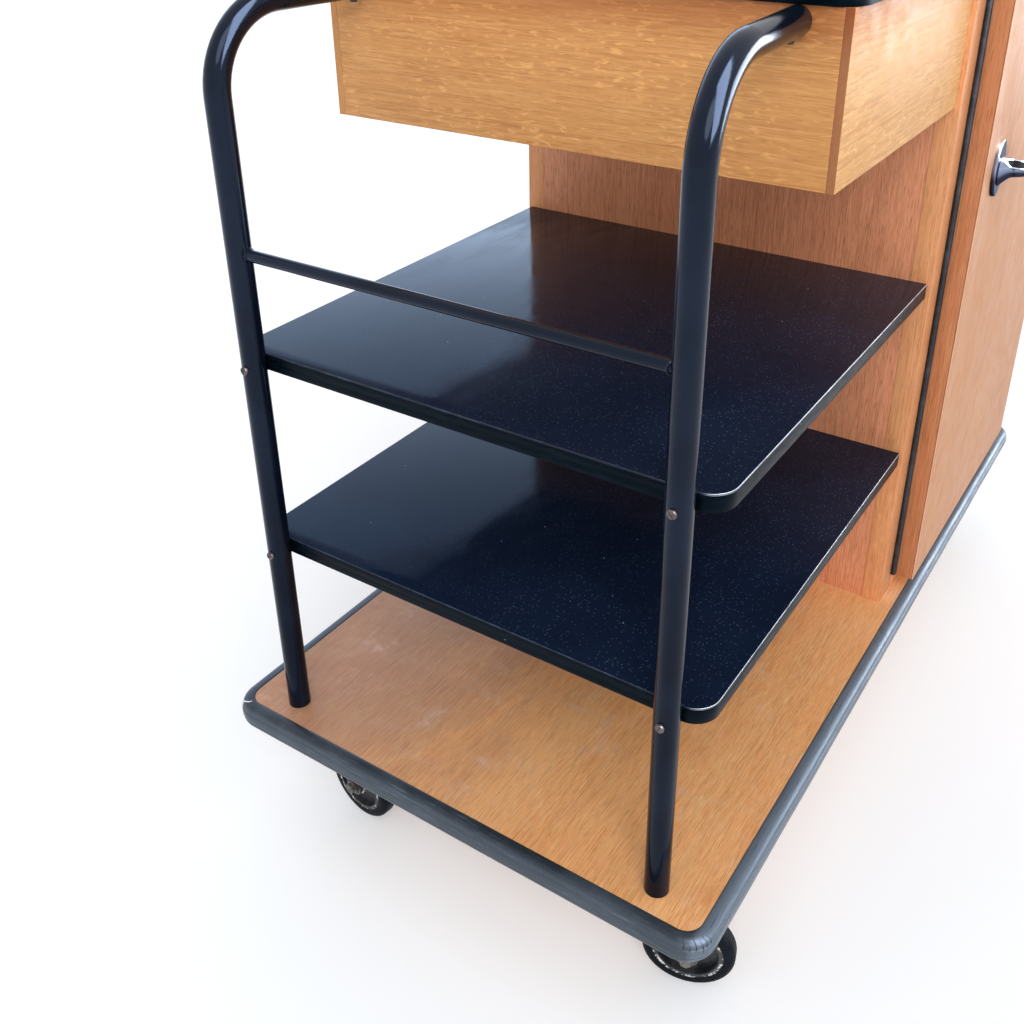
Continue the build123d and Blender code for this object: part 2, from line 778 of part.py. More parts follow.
# Worktop: the same board and sheet as the shelves, over the cupboard and the drawer box
worktop_front = box_front - worktop_overhang
worktop_far = cupboard_far + worktop_overhang
worktop_core = rounded_board(
    worktop_front, worktop_far, cupboard_half, shelf_corner_radius, worktop_bottom, board_thickness, False
)
worktop_sheet = rounded_board(
    worktop_front - sheet_lip,
    worktop_far + sheet_lip,
    cupboard_half + sheet_lip,
    shelf_corner_radius + sheet_lip,
    worktop_sheet_bottom,
    sheet_thickness,
    False,
)
write("worktop_core", worktop_core)
write("worktop_sheet", worktop_sheet)


# Drawer box: fixed panels on three sides, with the drawer open to the +Y side
box_floor = box_bottom + box_bottom_thickness
drawer_face_y = box_half - box_side_thickness
panel_end_y = drawer_face_y - panel_gap
box_inner_x = box_front + box_end_thickness
box_back_y = -box_half + box_side_thickness


def box_end_panel():
    panel = slab(box_front, box_inner_x, box_back_y, panel_end_y, box_bottom, worktop_bottom)
    for side in (-1, 1):
        face_x, y, z = tube_top_point(side, box_front)
        panel -= rod(stud_diameter / 2 + running_gap, (face_x - overrun, y, z), (box_inner_x + overrun, y, z))
    return panel


def drawer_guides():
    top = box_floor + drawer_guide_height
    for x0 in (box_inner_x, cupboard_push - drawer_guide_width):
        yield slab(x0, x0 + drawer_guide_width, box_back_y, panel_end_y, box_floor, top)


write("box_end_panel", box_end_panel())
write("box_side_panel", slab(box_front, cupboard_push, -box_half, box_back_y, box_bottom, worktop_bottom))
write("box_bottom_panel", slab(box_inner_x, cupboard_push, box_back_y, panel_end_y, box_bottom, box_floor))
write("drawer_guides", *drawer_guides())

drawer_x0 = box_inner_x + drawer_guide_width + drawer_gap
drawer_x1 = cupboard_push - drawer_guide_width - drawer_gap
drawer_bottom = box_floor + face_gap
drawer_top = drawer_bottom + drawer_wall_height
drawer_back_y = box_back_y + drawer_back_gap
drawer_inner_x0 = drawer_x0 + drawer_wall
drawer_inner_x1 = drawer_x1 - drawer_wall


def drawer_sides():
    for x0 in (drawer_x0, drawer_inner_x1):
        yield slab(x0, x0 + drawer_wall, drawer_back_y, drawer_face_y, drawer_bottom, drawer_top)


def drawer_ends():
    for y0 in (drawer_back_y, drawer_face_y - drawer_wall):
        yield slab(drawer_inner_x0, drawer_inner_x1, y0, y0 + drawer_wall, drawer_bottom, drawer_top)


def drawer_face():
    x1, top = cupboard_push - panel_gap, worktop_bottom - panel_gap
    return slab(box_front, x1, drawer_face_y, box_half, box_bottom, top)


def drawer_floor():
    y0, y1 = drawer_back_y + drawer_wall, drawer_face_y - drawer_wall
    z0 = drawer_bottom + drawer_bottom_rise
    return slab(drawer_inner_x0, drawer_inner_x1, y0, y1, z0, z0 + drawer_bottom_thickness)


def drawer_pull():
    x = (box_front + cupboard_push) / 2
    z = box_bottom + box_height / 2
    cap_y = box_half + pull_reach - pull_cap_height
    cap = rod(pull_diameter / 2, (x, cap_y, z), (x, box_half + pull_reach, z))
    cap = fillet(cap.edges().filter_by(GeomType.CIRCLE), pull_round)
    return cap + rod(pull_neck_diameter / 2, (x, box_half, z), (x, cap_y + pull_round, z))


write("drawer_face", drawer_face())
write("drawer_sides", *drawer_sides())
write("drawer_ends", *drawer_ends())
write("drawer_bottom", drawer_floor())
write("drawer_pull", drawer_pull())
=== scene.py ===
import json
import math

import bmesh
import bpy
from mathutils import Matrix, Vector


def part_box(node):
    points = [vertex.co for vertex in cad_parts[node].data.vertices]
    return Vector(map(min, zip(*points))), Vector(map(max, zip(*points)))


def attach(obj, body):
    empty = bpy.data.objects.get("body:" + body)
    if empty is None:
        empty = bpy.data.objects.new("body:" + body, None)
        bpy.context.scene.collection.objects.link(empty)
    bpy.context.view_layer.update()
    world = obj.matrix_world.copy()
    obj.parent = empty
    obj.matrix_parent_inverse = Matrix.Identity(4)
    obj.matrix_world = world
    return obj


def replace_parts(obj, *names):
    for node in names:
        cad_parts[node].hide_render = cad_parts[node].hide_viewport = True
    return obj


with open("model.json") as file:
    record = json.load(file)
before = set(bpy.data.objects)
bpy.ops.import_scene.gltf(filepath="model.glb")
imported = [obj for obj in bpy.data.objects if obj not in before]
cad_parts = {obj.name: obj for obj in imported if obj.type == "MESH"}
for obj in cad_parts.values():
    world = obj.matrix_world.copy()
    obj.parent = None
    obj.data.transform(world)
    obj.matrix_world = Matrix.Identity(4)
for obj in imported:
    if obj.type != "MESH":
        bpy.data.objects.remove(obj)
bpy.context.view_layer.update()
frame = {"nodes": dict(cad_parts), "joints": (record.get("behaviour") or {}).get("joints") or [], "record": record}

nodes = frame["nodes"]
joints = {joint["name"]: joint for joint in frame["joints"]}
bodies = {
    node: body for body, names in frame["record"]["behaviour"]["bodies"].items() for node in names
}
CASTORS = ("push_door", "push_drawer", "far_door", "far_drawer")
DECK_LOW, DECK_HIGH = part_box("deck_board")

WHITE = (1, 1, 1, 1)

# Socket numbers of the mix node
MIX_FACTOR = 0
NUMBER_INPUTS = (2, 3)
NUMBER_OUTPUT = 0
COLOUR_INPUTS = (6, 7)
COLOUR_OUTPUT = 2

# Share of a speck's size in full colour, how much finer than its cells its ragged outline is, and the
# rise over which a cell goes from bare to picked
SPECK_CORE_SHARE = 0.7
RAGGED_FINENESS = 3
PICK_STEP = 0.01

BUMP_STRENGTH = 0.6


def colour(red, green, blue):
    """A colour given in display values from 0 to 255."""
    def linear(value):
        share = value / 255
        return share / 12.92 if share <= 0.04045 else ((share + 0.055) / 1.055) ** 2.4
    return (linear(red), linear(green), linear(blue), 1.0)


def scaled_colour(tone, factor):
    """A colour made lighter or darker by a factor."""
    return tuple(min(factor * value, 1) for value in tone[:3]) + (1.0,)


# Node materials
class Shader:
    """A material whose textures follow the row frame, in metres."""

    def __init__(self, name, **fixed):
        self.material = bpy.data.materials.new(name)
        self.material.use_nodes = True
        self.tree = self.material.node_tree
        self.surface = self.tree.nodes["Principled BSDF"]
        self.points = self.tree.nodes.new("ShaderNodeTexCoord").outputs["Object"]
        for socket, value in fixed.items():
            self.put(self.surface.inputs[socket.replace("_", " ")], value)

    def put(self, socket, value):
        if isinstance(value, bpy.types.NodeSocket):
            self.tree.links.new(value, socket)
        else:
            socket.default_value = value

    def add(self, kind, values, **settings):
        node = self.tree.nodes.new(kind)
        for name, setting in settings.items():
            setattr(node, name, setting)
        for key, value in values.items():
            self.put(node.inputs[key], value)
        return node

    def scaled(self, scale, shift=(0, 0, 0)):
        values = {"Vector": self.points, "Scale": scale, "Location": shift}
        return self.add("ShaderNodeMapping", values).outputs["Vector"]

    def place(self, axis):
        """The position along one axis of the row frame."""
        return self.add("ShaderNodeSeparateXYZ", {"Vector": self.points}).outputs[axis]

    def facing(self, axis):
        """How far a surface faces along one axis, from -1 to 1."""
        normal = self.add("ShaderNodeNewGeometry", {}).outputs["Normal"]
        return self.add("ShaderNodeSeparateXYZ", {"Vector": normal}).outputs[axis]

    def noise(self, points, scale, detail=2.0, rough=0.5, warp=0.0):
        values = {"Vector": points, "Scale": scale, "Detail": detail, "Roughness": rough, "Distortion": warp}
        return self.add("ShaderNodeTexNoise", values).outputs["Fac"]

    def step(self, value, low, high, to_low=0.0, to_high=1.0):
        """A smooth rise from to_low to to_high while the value goes from low to high."""
        values = {"Value": value, "From Min": low, "From Max": high, "To Min": to_low, "To Max": to_high}
        node = self.add("ShaderNodeMapRange", values, interpolation_type="SMOOTHSTEP")
        return node.outputs["Result"]

    def maths(self, operation, first, second=0.0):
        return self.add("ShaderNodeMath", {0: first, 1: second}, operation=operation).outputs[0]

    def vector_maths(self, operation, output, *vectors):
        node = self.add("ShaderNodeVectorMath", dict(enumerate(vectors)), operation=operation)
        return node.outputs[output]

    def mix(self, factor, first, second, kind="MIX"):
        """Two colours, from the first at 0 to the second at 1."""
        values = {MIX_FACTOR: factor, COLOUR_INPUTS[0]: first, COLOUR_INPUTS[1]: second}
        node = self.add("ShaderNodeMix", values, data_type="RGBA", blend_type=kind)
        return node.outputs[COLOUR_OUTPUT]

    def mix_numbers(self, factor, first, second):
        """Two numbers, from the first at 0 to the second at 1."""
        values = {MIX_FACTOR: factor, NUMBER_INPUTS[0]: first, NUMBER_INPUTS[1]: second}
        return self.add("ShaderNodeMix", values, data_type="FLOAT").outputs[NUMBER_OUTPUT]

    def specks(self, points, scale, size, share, ragged=0.0):
        """Small spots, one in each cell of a lattice, kept in the given share of the cells."""
        cells = self.add("ShaderNodeTexVoronoi", {"Vector": points, "Scale": scale})
        reach = cells.outputs["Distance"]
        if ragged:
            wobble = self.noise(points, scale * RAGGED_FINENESS, detail=2.0)
            reach = self.maths("ADD", reach, self.maths("MULTIPLY", wobble, ragged))
        spot = self.step(reach, size + ragged / 2, size * SPECK_CORE_SHARE + ragged / 2)
        pick = self.add("ShaderNodeSeparateColor", {"Color": cells.outputs["Color"]}).outputs["Red"]
        return self.maths("MULTIPLY", spot, self.step(pick, 1 - share, 1 - share + PICK_STEP))

    def finish(self, base, roughness, height=None, depth=0.0002, metallic=None):
        self.put(self.surface.inputs["Base Color"], base)
        self.put(self.surface.inputs["Roughness"], roughness)
        if metallic is not None:
            self.put(self.surface.inputs["Metallic"], metallic)
        if height is not None:
            values = {"Height": height, "Strength": BUMP_STRENGTH, "Distance": depth}
            bump = self.add("ShaderNodeBump", values)
            self.put(self.surface.inputs["Normal"], bump.outputs["Normal"])
        return self.material


# Height below the top's underside where its shade starts, and height above it where the shade is full
HEAD_SHADE = (-0.040, 0.012)


def oak(
    name, grain, pale, mid, dark, pores=0.4, flecks=0.3, ribs=0.0, gloss=0.35, sheen=0.28, fine=1.0,
    haze=None, edge=None, head=None,
):
    """Quarter-sawn oak veneer: growth lines, pores and ray flecks along the grain axis.

    Pores, flecks and ribs are strengths, and fine tells how many times finer the grain is than usual. Haze
    holds the colours of scuffs and of a painted reflection of dim surroundings that greys the +Y side. Edge
    holds an axis, and the strength and colour of the faces across it. Head is the level of a top that shades
    the wood under it, and this shade is painted.
    """
    shader = Shader(name, Specular_IOR_Level=sheen)
    axis = "XYZ".index(grain)

    def drawn_out(share, shift=(0, 0, 0)):
        scale = [1.0, 1.0, 1.0]
        scale[axis] = share
        return shader.scaled(scale, shift)

    tone = shader.noise(drawn_out(0.2), 8, detail=4.0, rough=0.55)
    bands = shader.noise(drawn_out(0.02), 110 * fine, detail=3.0, rough=0.6, warp=0.2)
    lines = shader.noise(drawn_out(0.03), 560 * fine, detail=3.0, rough=0.7, warp=0.1)
    pits = shader.noise(drawn_out(0.05), 900 * fine, detail=2.0, rough=0.6)
    wood = shader.mix(shader.step(lines, 0.33, 0.67), dark, pale)
    wood = shader.mix(shader.step(bands, 0.3, 0.7, 0.15, 0.75), wood, mid)
    wood = shader.mix(shader.step(tone, 0.38, 0.7, 0.0, 0.4), wood, pale)
    if ribs:
        values = {
            "Vector": drawn_out(0.03), "Scale": 118.0 * fine, "Distortion": 5.0, "Detail": 3.0,
            "Detail Scale": 1.4,
        }
        wave = shader.add("ShaderNodeTexWave", values, bands_direction="Y").outputs["Fac"]
        wood = shader.mix(shader.step(wave, 0.2, 0.8, ribs, 0.0), wood, dark)
    rays = shader.noise(drawn_out(0.26, (0.3, 0.1, 0.2)), 285, detail=1.0, rough=0.5, warp=0.6)
    groups = shader.noise(drawn_out(0.5), 22, detail=2.0, rough=0.5)
    grouped = shader.step(groups, 0.36, 0.6, 0.25 * flecks, flecks)
    shine = shader.maths("MULTIPLY", shader.step(rays, 0.54, 0.71), grouped)
    wood = shader.mix(shine, wood, scaled_colour(pale, 1.22))
    pore_mask = shader.step(pits, 0.54, 0.66, 0.0, pores)
    wood = shader.mix(pore_mask, wood, scaled_colour(dark, 0.55))
    if haze:
        wood = scuffs_and_painted_reflection(shader, wood, *haze)
    if edge:
        edge_axis, strength, edge_colour = edge
        across = shader.maths("ABSOLUTE", shader.facing(edge_axis))
        wood = shader.mix(shader.step(across, 0.6, 0.8, 0.0, strength), wood, edge_colour)
    if head is not None:
        level = shader.maths("ADD", shader.place("Z"), shader.maths("MULTIPLY", tone, 0.02))
        shade = shader.step(level, head + HEAD_SHADE[0], head + HEAD_SHADE[1], 0.0, 0.6)
        wood = shader.mix(shade, wood, dark, "MULTIPLY")
    patches = shader.noise(shader.points, 40, detail=3.0)
    roughness = shader.step(patches, 0.3, 0.7, gloss, gloss + 0.14)
    height = shader.maths("SUBTRACT", shader.maths("MULTIPLY", lines, 0.4), pore_mask)
    return shader.finish(wood, roughness, height, depth=0.00015)


def scuffs_and_painted_reflection(shader, wood, scuffed, painted_dim_reflection):
    """Pale scuffs all over, and a painted reflection of dim surroundings that greys and darkens the wood towards
    the +Y side.
    """
    patches = shader.noise(shader.scaled((1.0, 1.6, 1.0)), 7, detail=5.0, rough=0.65, warp=0.5)
    side = shader.maths("ADD", shader.place("Y"), shader.maths("MULTIPLY", patches, 0.30))
    # Painted reflection of dim surroundings, greying the wood towards the +Y side
    wood = shader.mix(shader.step(side, 0.06, 0.40, 0.0, 0.55), wood, painted_dim_reflection)
    scuffs = shader.noise(shader.scaled((1.4, 0.8, 1.0)), 16, detail=6.0, rough=0.72, warp=0.4)
    patchy = shader.step(patches, 0.48, 0.66, 0.15, 0.9)
    scuffs = shader.maths("MULTIPLY", shader.step(scuffs, 0.46, 0.80), patchy)
    wood = shader.mix(scuffs, wood, scuffed)
    nicks = shader.specks(shader.points, 55, size=0.035, share=0.08, ragged=0.05)
    return shader.mix(nicks, wood, colour(232, 222, 212))


def plain_wood(name, grain, pale, dark):
    """Bare softwood or ply inside and under the trolley."""
    shader = Shader(name)
    scale = [1.0, 1.0, 1.0]
    scale["XYZ".index(grain)] = 0.05
    lines = shader.noise(shader.scaled(scale), 80, detail=4.0, rough=0.6, warp=0.8)
    fibres = shader.noise(shader.scaled(scale), 500, detail=2.0)
    wood = shader.mix(shader.step(lines, 0.3, 0.7), pale, dark)
    wood = shader.mix(shader.step(fibres, 0.55, 0.7, 0.0, 0.35), wood, dark)
    return shader.finish(wood, shader.step(fibres, 0.3, 0.7, 0.55, 0.75), fibres, depth=0.0002)


def black_enamel(name):
    """Gloss stove enamel with a navy cast, small chips and scraped patches, and a painted dimming of its
    reflections near the deck.
    """
    shader = Shader(name, Specular_Tint=colour(196, 216, 255))
    # Reflection strength painted lower towards the deck, standing in for darker surroundings mirrored by the low
    # tubes
    sheen = shader.step(shader.place("Z"), 0.20, 0.85, 0.12, 0.31)
    shader.put(shader.surface.inputs["Specular IOR Level"], sheen)
    skin = shader.noise(shader.points, 160, detail=3.0)
    patches = shader.noise(shader.points, 14, detail=3.0)
    chips = shader.specks(shader.points, 26, size=0.045, share=0.30, ragged=0.05)
    rubs = shader.specks(shader.scaled((1.0, 1.0, 0.25)), 60, size=0.06, share=0.05, ragged=0.08)
    base = shader.mix(shader.step(patches, 0.35, 0.7), colour(9, 14, 25), colour(17, 24, 38))
    base = shader.mix(rubs, base, colour(92, 84, 82))
    base = shader.mix(chips, base, colour(178, 176, 174))
    roughness = shader.step(patches, 0.3, 0.75, 0.10, 0.18)
    height = shader.maths("SUBTRACT", shader.maths("MULTIPLY", skin, 0.25), chips)
    return shader.finish(base, roughness, height, depth=0.00025)


def black_board(name):
    """High-gloss black laminate, lightly scuffed, with dust that lies thicker on the door side."""
    shader = Shader(name, Specular_IOR_Level=0.072, Specular_Tint=colour(110, 190, 255))
    dust = shader.specks(shader.points, 300, size=0.26, share=0.60)
    motes = shader.specks(shader.points, 60, size=0.045, share=0.22, ragged=0.03)
    haze = shader.noise(shader.points, 9, detail=4.0, rough=0.6)
    wipes = shader.noise(shader.scaled((0.6, 2.2, 1.0)), 16, detail=4.0, rough=0.65, warp=0.6)
    base = shader.mix(shader.step(haze, 0.35, 0.75), colour(18, 28, 48), colour(23, 35, 58))
    door_side = shader.step(shader.place("Y"), 0.20, -0.12, 0.25, 1.0)
    settled = shader.maths("MULTIPLY", shader.step(haze, 0.4, 0.7, 0.35, 0.75), door_side)
    base = shader.mix(shader.maths("MULTIPLY", dust, settled), base, colour(76, 91, 112))
    base = shader.mix(motes, base, colour(170, 170, 176))
    roughness = shader.step(wipes, 0.35, 0.7, 0.10, 0.20)
    ripple = shader.noise(shader.points, 30, detail=2.0)
    return shader.finish(base, roughness, ripple, depth=0.00008)


def black_edge(name):
    """Painted board edge with pale nicks."""
    shader = Shader(name, Specular_IOR_Level=0.08, Specular_Tint=colour(150, 195, 240))
    scuffs = shader.noise(shader.scaled((1.0, 1.0, 6.0)), 45, detail=4.0, rough=0.7)
    nicks = shader.specks(shader.points, 45, size=0.05, share=0.28, ragged=0.06)
    base = shader.mix(shader.step(scuffs, 0.45, 0.8), colour(3, 9, 15), colour(14, 24, 34))
    base = shader.mix(nicks, base, colour(158, 158, 156))
    return shader.finish(base, shader.step(scuffs, 0.3, 0.7, 0.28, 0.45), scuffs, depth=0.0001)


def edge_wear_and_highlight(name, plain, bright, sheen, door_side=None):
    """An arris lighter in patches, from wear and as a painted highlight line, with a painted glint on faces turned
    to the door side if door_side has a colour.
    """
    shader = Shader(name, Specular_IOR_Level=sheen)
    wear_and_highlight = shader.noise(shader.points, 35, detail=4.0, rough=0.65)
    base = shader.mix(shader.step(wear_and_highlight, 0.4, 0.7), plain, bright)
    if door_side:
        # Painted glint on the faces turned to the door side
        at_door = shader.step(shader.facing("Y"), -0.15, -0.45)
        door_glint = shader.maths("MULTIPLY", at_door, shader.step(wear_and_highlight, 0.30, 0.55, 0.35, 1.0))
        base = shader.mix(door_glint, base, door_side)
    return shader.finish(base, shader.step(wear_and_highlight, 0.3, 0.7, 0.34, 0.18))


# Widths over which the bumper's streaks turn the corner and its painted reflection lightens the top on the door
# side
CORNER_BLEND = 0.010
DOOR_BLEND = 0.004


def bumper_rubber(name, half_length, door_edge):
    """Old rubber: grey bloom, streaks along its length and pale nicks, with painted light: lighter on faces turned
    up than on those turned down, a painted shade on the flat top, and a painted reflection lightening the top on
    the door side.
    """
    shader = Shader(name, Specular_IOR_Level=0.42, Specular_Tint=colour(214, 228, 255))
    bloom = shader.noise(shader.points, 11, detail=5.0, rough=0.62)
    streak_x = shader.noise(shader.scaled((0.04, 1.0, 1.0)), 460, detail=4.0, rough=0.65)
    streak_y = shader.noise(shader.scaled((1.0, 0.04, 1.0)), 460, detail=4.0, rough=0.65)
    from_middle = shader.maths("ABSOLUTE", shader.place("X"))
    on_end = shader.step(from_middle, half_length - CORNER_BLEND, half_length)
    streaks = shader.mix_numbers(on_end, streak_x, streak_y)
    upward = shader.facing("Z")
    # Painted shading: faces turned down darker than faces turned up
    base = shader.mix(shader.step(upward, -0.3, 0.6), colour(50, 57, 62), colour(66, 74, 82))
    at_door = shader.step(shader.place("Y"), door_edge + DOOR_BLEND, door_edge - DOOR_BLEND)
    # Painted shade on the flat top, weaker on the door side
    top_shade = shader.step(at_door, 0.0, 1.0, 0.8, 0.2)
    shade = shader.maths("MULTIPLY", shader.step(upward, 0.62, 0.92), top_shade)
    base = shader.mix(shade, base, colour(36, 41, 47))
    # Painted reflection lightening the strip on the door side
    base = shader.mix(shader.maths("MULTIPLY", at_door, 0.6), base, colour(112, 124, 138))
    base = shader.mix(shader.step(bloom, 0.42, 0.72, 0.0, 0.45), base, colour(86, 97, 107))
    base = shader.mix(shader.step(streaks, 0.54, 0.72, 0.0, 0.7), base, colour(36, 41, 46))
    base = shader.mix(shader.step(streaks, 0.40, 0.26, 0.0, 0.5), base, colour(128, 141, 154))
    nicks = shader.specks(shader.points, 38, size=0.04, share=0.14, ragged=0.06)
    base = shader.mix(nicks, base, colour(205, 210, 216))
    roughness = shader.step(bloom, 0.3, 0.7, 0.24, 0.42)
    return shader.finish(base, roughness, streaks, depth=0.0004)


def plain_rubber(name, dark, bright, sheen):
    """Matt black rubber or paint with faint scuffs."""
    shader = Shader(name, Specular_IOR_Level=sheen)
    scuffs = shader.noise(shader.points, 70, detail=4.0, rough=0.65)
    base = shader.mix(shader.step(scuffs, 0.4, 0.75), dark, bright)
    skin = shader.noise(shader.points, 600)
    return shader.finish(base, shader.step(scuffs, 0.3, 0.7, 0.42, 0.60), skin, depth=0.0002)


def chrome(name):
    """Plating with wear, and painted reflections: near white on faces turned up, bluish grey on the sides, dark
    underneath and grey on faces turned straight to the door side.
    """
    shader = Shader(name, Metallic=1.0, Specular_Tint=colour(176, 180, 192))
    wear = shader.noise(shader.points, 60, detail=4.0, rough=0.7)
    upward = shader.facing("Z")
    # Painted reflections by facing: dark underneath, bluish grey on the sides, near white on top, grey towards the
    # door side
    base = shader.mix(shader.step(upward, -0.22, 0.12), colour(50, 52, 68), colour(150, 160, 188))
    base = shader.mix(shader.step(upward, 0.35, 0.68), base, colour(240, 244, 252))
    base = shader.mix(shader.step(shader.facing("Y"), -0.90, -0.99), base, colour(100, 102, 110))
    base = shader.mix(shader.step(wear, 0.60, 0.78, 0.0, 0.4), base, colour(104, 102, 106))
    roughness = shader.step(wear, 0.35, 0.75, 0.08, 0.26)
    return shader.finish(base, roughness, shader.noise(shader.points, 25), depth=0.00005)


def dull_metal(name, bright, dark, rough=0.45):
    """Plated or cast metal with grime in patches."""
    shader = Shader(name)
    grime = shader.noise(shader.points, 90, detail=5.0, rough=0.7)
    base = shader.mix(shader.step(grime, 0.42, 0.66), bright, dark)
    metallic = shader.step(grime, 0.42, 0.66, 0.85, 0.2)
    roughness = shader.step(grime, 0.3, 0.7, rough, rough + 0.25)
    return shader.finish(base, roughness, grime, depth=0.0003, metallic=metallic)


# Radii where a painted ring starts to show and shows in full, on its inner side and on its outer side
RIM_RING = ((0.0345, 0.0355), (0.0385, 0.0375))
HUB_RING = ((0.0115, 0.0120), (0.0145, 0.0135))


def wheel_paint(place):
    """Grey-black wheel paint with chipped white rings, about the wheel's own axle."""
    joint = joints[f"wheel_spin_{place}"]
    shader = Shader(f"wheel_paint_{place}")
    offset = shader.vector_maths("SUBTRACT", 0, shader.points, Vector(joint["pos_m"]))
    along = shader.vector_maths("DOT_PRODUCT", "Value", offset, Vector(joint["axis"]))
    full = shader.vector_maths("LENGTH", "Value", offset)
    squares = shader.maths("SUBTRACT", shader.maths("POWER", full, 2.0), shader.maths("POWER", along, 2.0))
    radius = shader.maths("SQRT", shader.maths("MAXIMUM", squares, 0.0))

    def ring(inner, outer):
        return shader.maths("MULTIPLY", shader.step(radius, *inner), shader.step(radius, *outer))

    marks = shader.maths("ADD", ring(*RIM_RING), ring(*HUB_RING))
    flakes = shader.step(shader.noise(shader.points, 130, detail=4.0, rough=0.75), 0.52, 0.56)
    grime = shader.noise(shader.points, 60, detail=4.0, rough=0.6)
    base = shader.mix(shader.step(grime, 0.35, 0.7), colour(16, 19, 26), colour(54, 54, 58))
    base = shader.mix(shader.maths("MULTIPLY", marks, flakes), base, colour(222, 222, 222))
    return shader.finish(base, shader.step(grime, 0.3, 0.7, 0.35, 0.6), flakes, depth=0.0002)


WORKTOP_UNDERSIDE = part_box("worktop_core")[0].z
OAK = {
    "deck": oak(
        "oak_deck", "X", colour(255, 203, 142), colour(250, 174, 110), colour(204, 124, 68),
        pores=0.30, flecks=0.25, ribs=0.30, gloss=0.32, fine=1.4,
        # Pale scuffs, and the grey of a painted reflection on the +Y side
        haze=(colour(232, 204, 188), colour(128, 104, 104)),
    ),
    "panel": oak(
        "oak_panel", "Z", colour(240, 166, 125), colour(221, 144, 103), colour(178, 104, 71),
        pores=0.5, flecks=0.1, fine=1.3,
    ),
    "outer_panel": oak(
        "oak_outer_panel", "Z", colour(234, 174, 122), colour(218, 154, 104), colour(186, 120, 76),
        pores=0.45, flecks=0.20, sheen=0.18,
    ),
    "stile": oak(
        "oak_stile", "Z", colour(246, 178, 124), colour(232, 158, 106), colour(206, 128, 80),
        pores=0.40, flecks=0.15, edge=("Y", 0.65, colour(190, 126, 78)),
    ),
    "rail": oak(
        "oak_rail", "X", colour(246, 178, 124), colour(232, 158, 106), colour(206, 128, 80),
        pores=0.40, flecks=0.15,
    ),
    "box_end": oak(
        "oak_box_end", "Y", colour(220, 162, 100), colour(206, 143, 82), colour(182, 117, 62),
        pores=0.25, flecks=0.66, head=WORKTOP_UNDERSIDE,
    ),
    "box_side": oak(
        "oak_box_side", "X", colour(238, 188, 130), colour(224, 166, 102), colour(203, 140, 78),
        pores=0.25, flecks=0.45, sheen=0.07, edge=("X", 0.85, colour(158, 98, 68)), head=WORKTOP_UNDERSIDE,
    ),
    "drawer_face": oak(
        "oak_drawer_face", "X", colour(244, 196, 138), colour(230, 174, 108), colour(208, 146, 82),
        pores=0.25, flecks=0.45, sheen=0.07, edge=("X", 0.70, colour(186, 122, 74)), head=WORKTOP_UNDERSIDE,
    ),
    "lipping": oak(
        "oak_lipping", "Z", colour(208, 142, 98), colour(196, 126, 82), colour(172, 102, 62),
        pores=0.4, flecks=0.1,
    ),
    "door_face": oak(
        "oak_door_face", "Z", colour(214, 162, 124), colour(202, 146, 108), colour(182, 122, 86),
        pores=0.25, flecks=0.15, gloss=0.42, sheen=0.07,
    ),
}
INSIDE = {
    grain: oak(
        f"oak_inside_{grain.lower()}", grain,
        colour(228, 184, 140), colour(216, 166, 120), colour(190, 138, 96),
        pores=0.35, flecks=0.20, sheen=0.12,
    )
    for grain in "XZ"
}
PALE_WOOD = {
    grain: plain_wood(f"pale_wood_{grain.lower()}", grain, colour(214, 186, 148), colour(186, 150, 108))
    for grain in "XY"
}
BEECH = plain_wood("beech", "Y", colour(176, 138, 100), colour(138, 102, 70))
ENAMEL = black_enamel("black_enamel")
SHEET = black_board("black_sheet")
EDGE = black_edge("black_edge")
# Rim of the black sheets: lighter in patches from wear and a painted highlight, with a painted glint on the arris
# turned to the door side
SHEET_RIM = edge_wear_and_highlight(
    "sheet_rim", colour(14, 24, 38), colour(56, 70, 90), sheen=0.45, door_side=colour(214, 222, 234)
)
GLUE_LINE = edge_wear_and_highlight("glue_line", colour(128, 78, 54), colour(150, 96, 66), sheen=0.3)
# Arris of the door veneer: pale, partly wear and partly a painted highlight line
ARRIS = edge_wear_and_highlight("door_arris", colour(232, 176, 132), colour(250, 204, 168), sheen=0.4)
BUMPER = bumper_rubber("bumper_rubber", half_length=DECK_HIGH.x, door_edge=DECK_LOW.y)
SEAL = plain_rubber("seal_rubber", colour(34, 36, 43), colour(60, 64, 75), sheen=0.3)
TYRE = plain_rubber("tyre_rubber", colour(4, 7, 13), colour(18, 24, 36), sheen=0.08)
INLAY = plain_rubber("black_inlay", colour(6, 6, 9), colour(20, 20, 26), sheen=0.12)
CHROME = chrome("chrome")
CASTOR_STEEL = dull_metal("castor_steel", colour(98, 92, 90), colour(30, 28, 31))
ZINC = dull_metal("zinc_steel", colour(128, 124, 122), colour(58, 54, 54), rough=0.35)
BRONZE = dull_metal("bronze_screw", colour(112, 100, 100), colour(44, 38, 40), rough=0.22)
DARK_METAL = dull_metal("dark_metal", colour(70, 68, 72), colour(24, 24, 28), rough=0.4)
CRACK = Shader("crack_dark").finish(colour(24, 26, 30), 0.8)
PALE_NAIL = Shader("bent_nail").finish(colour(228, 230, 232), 0.35)

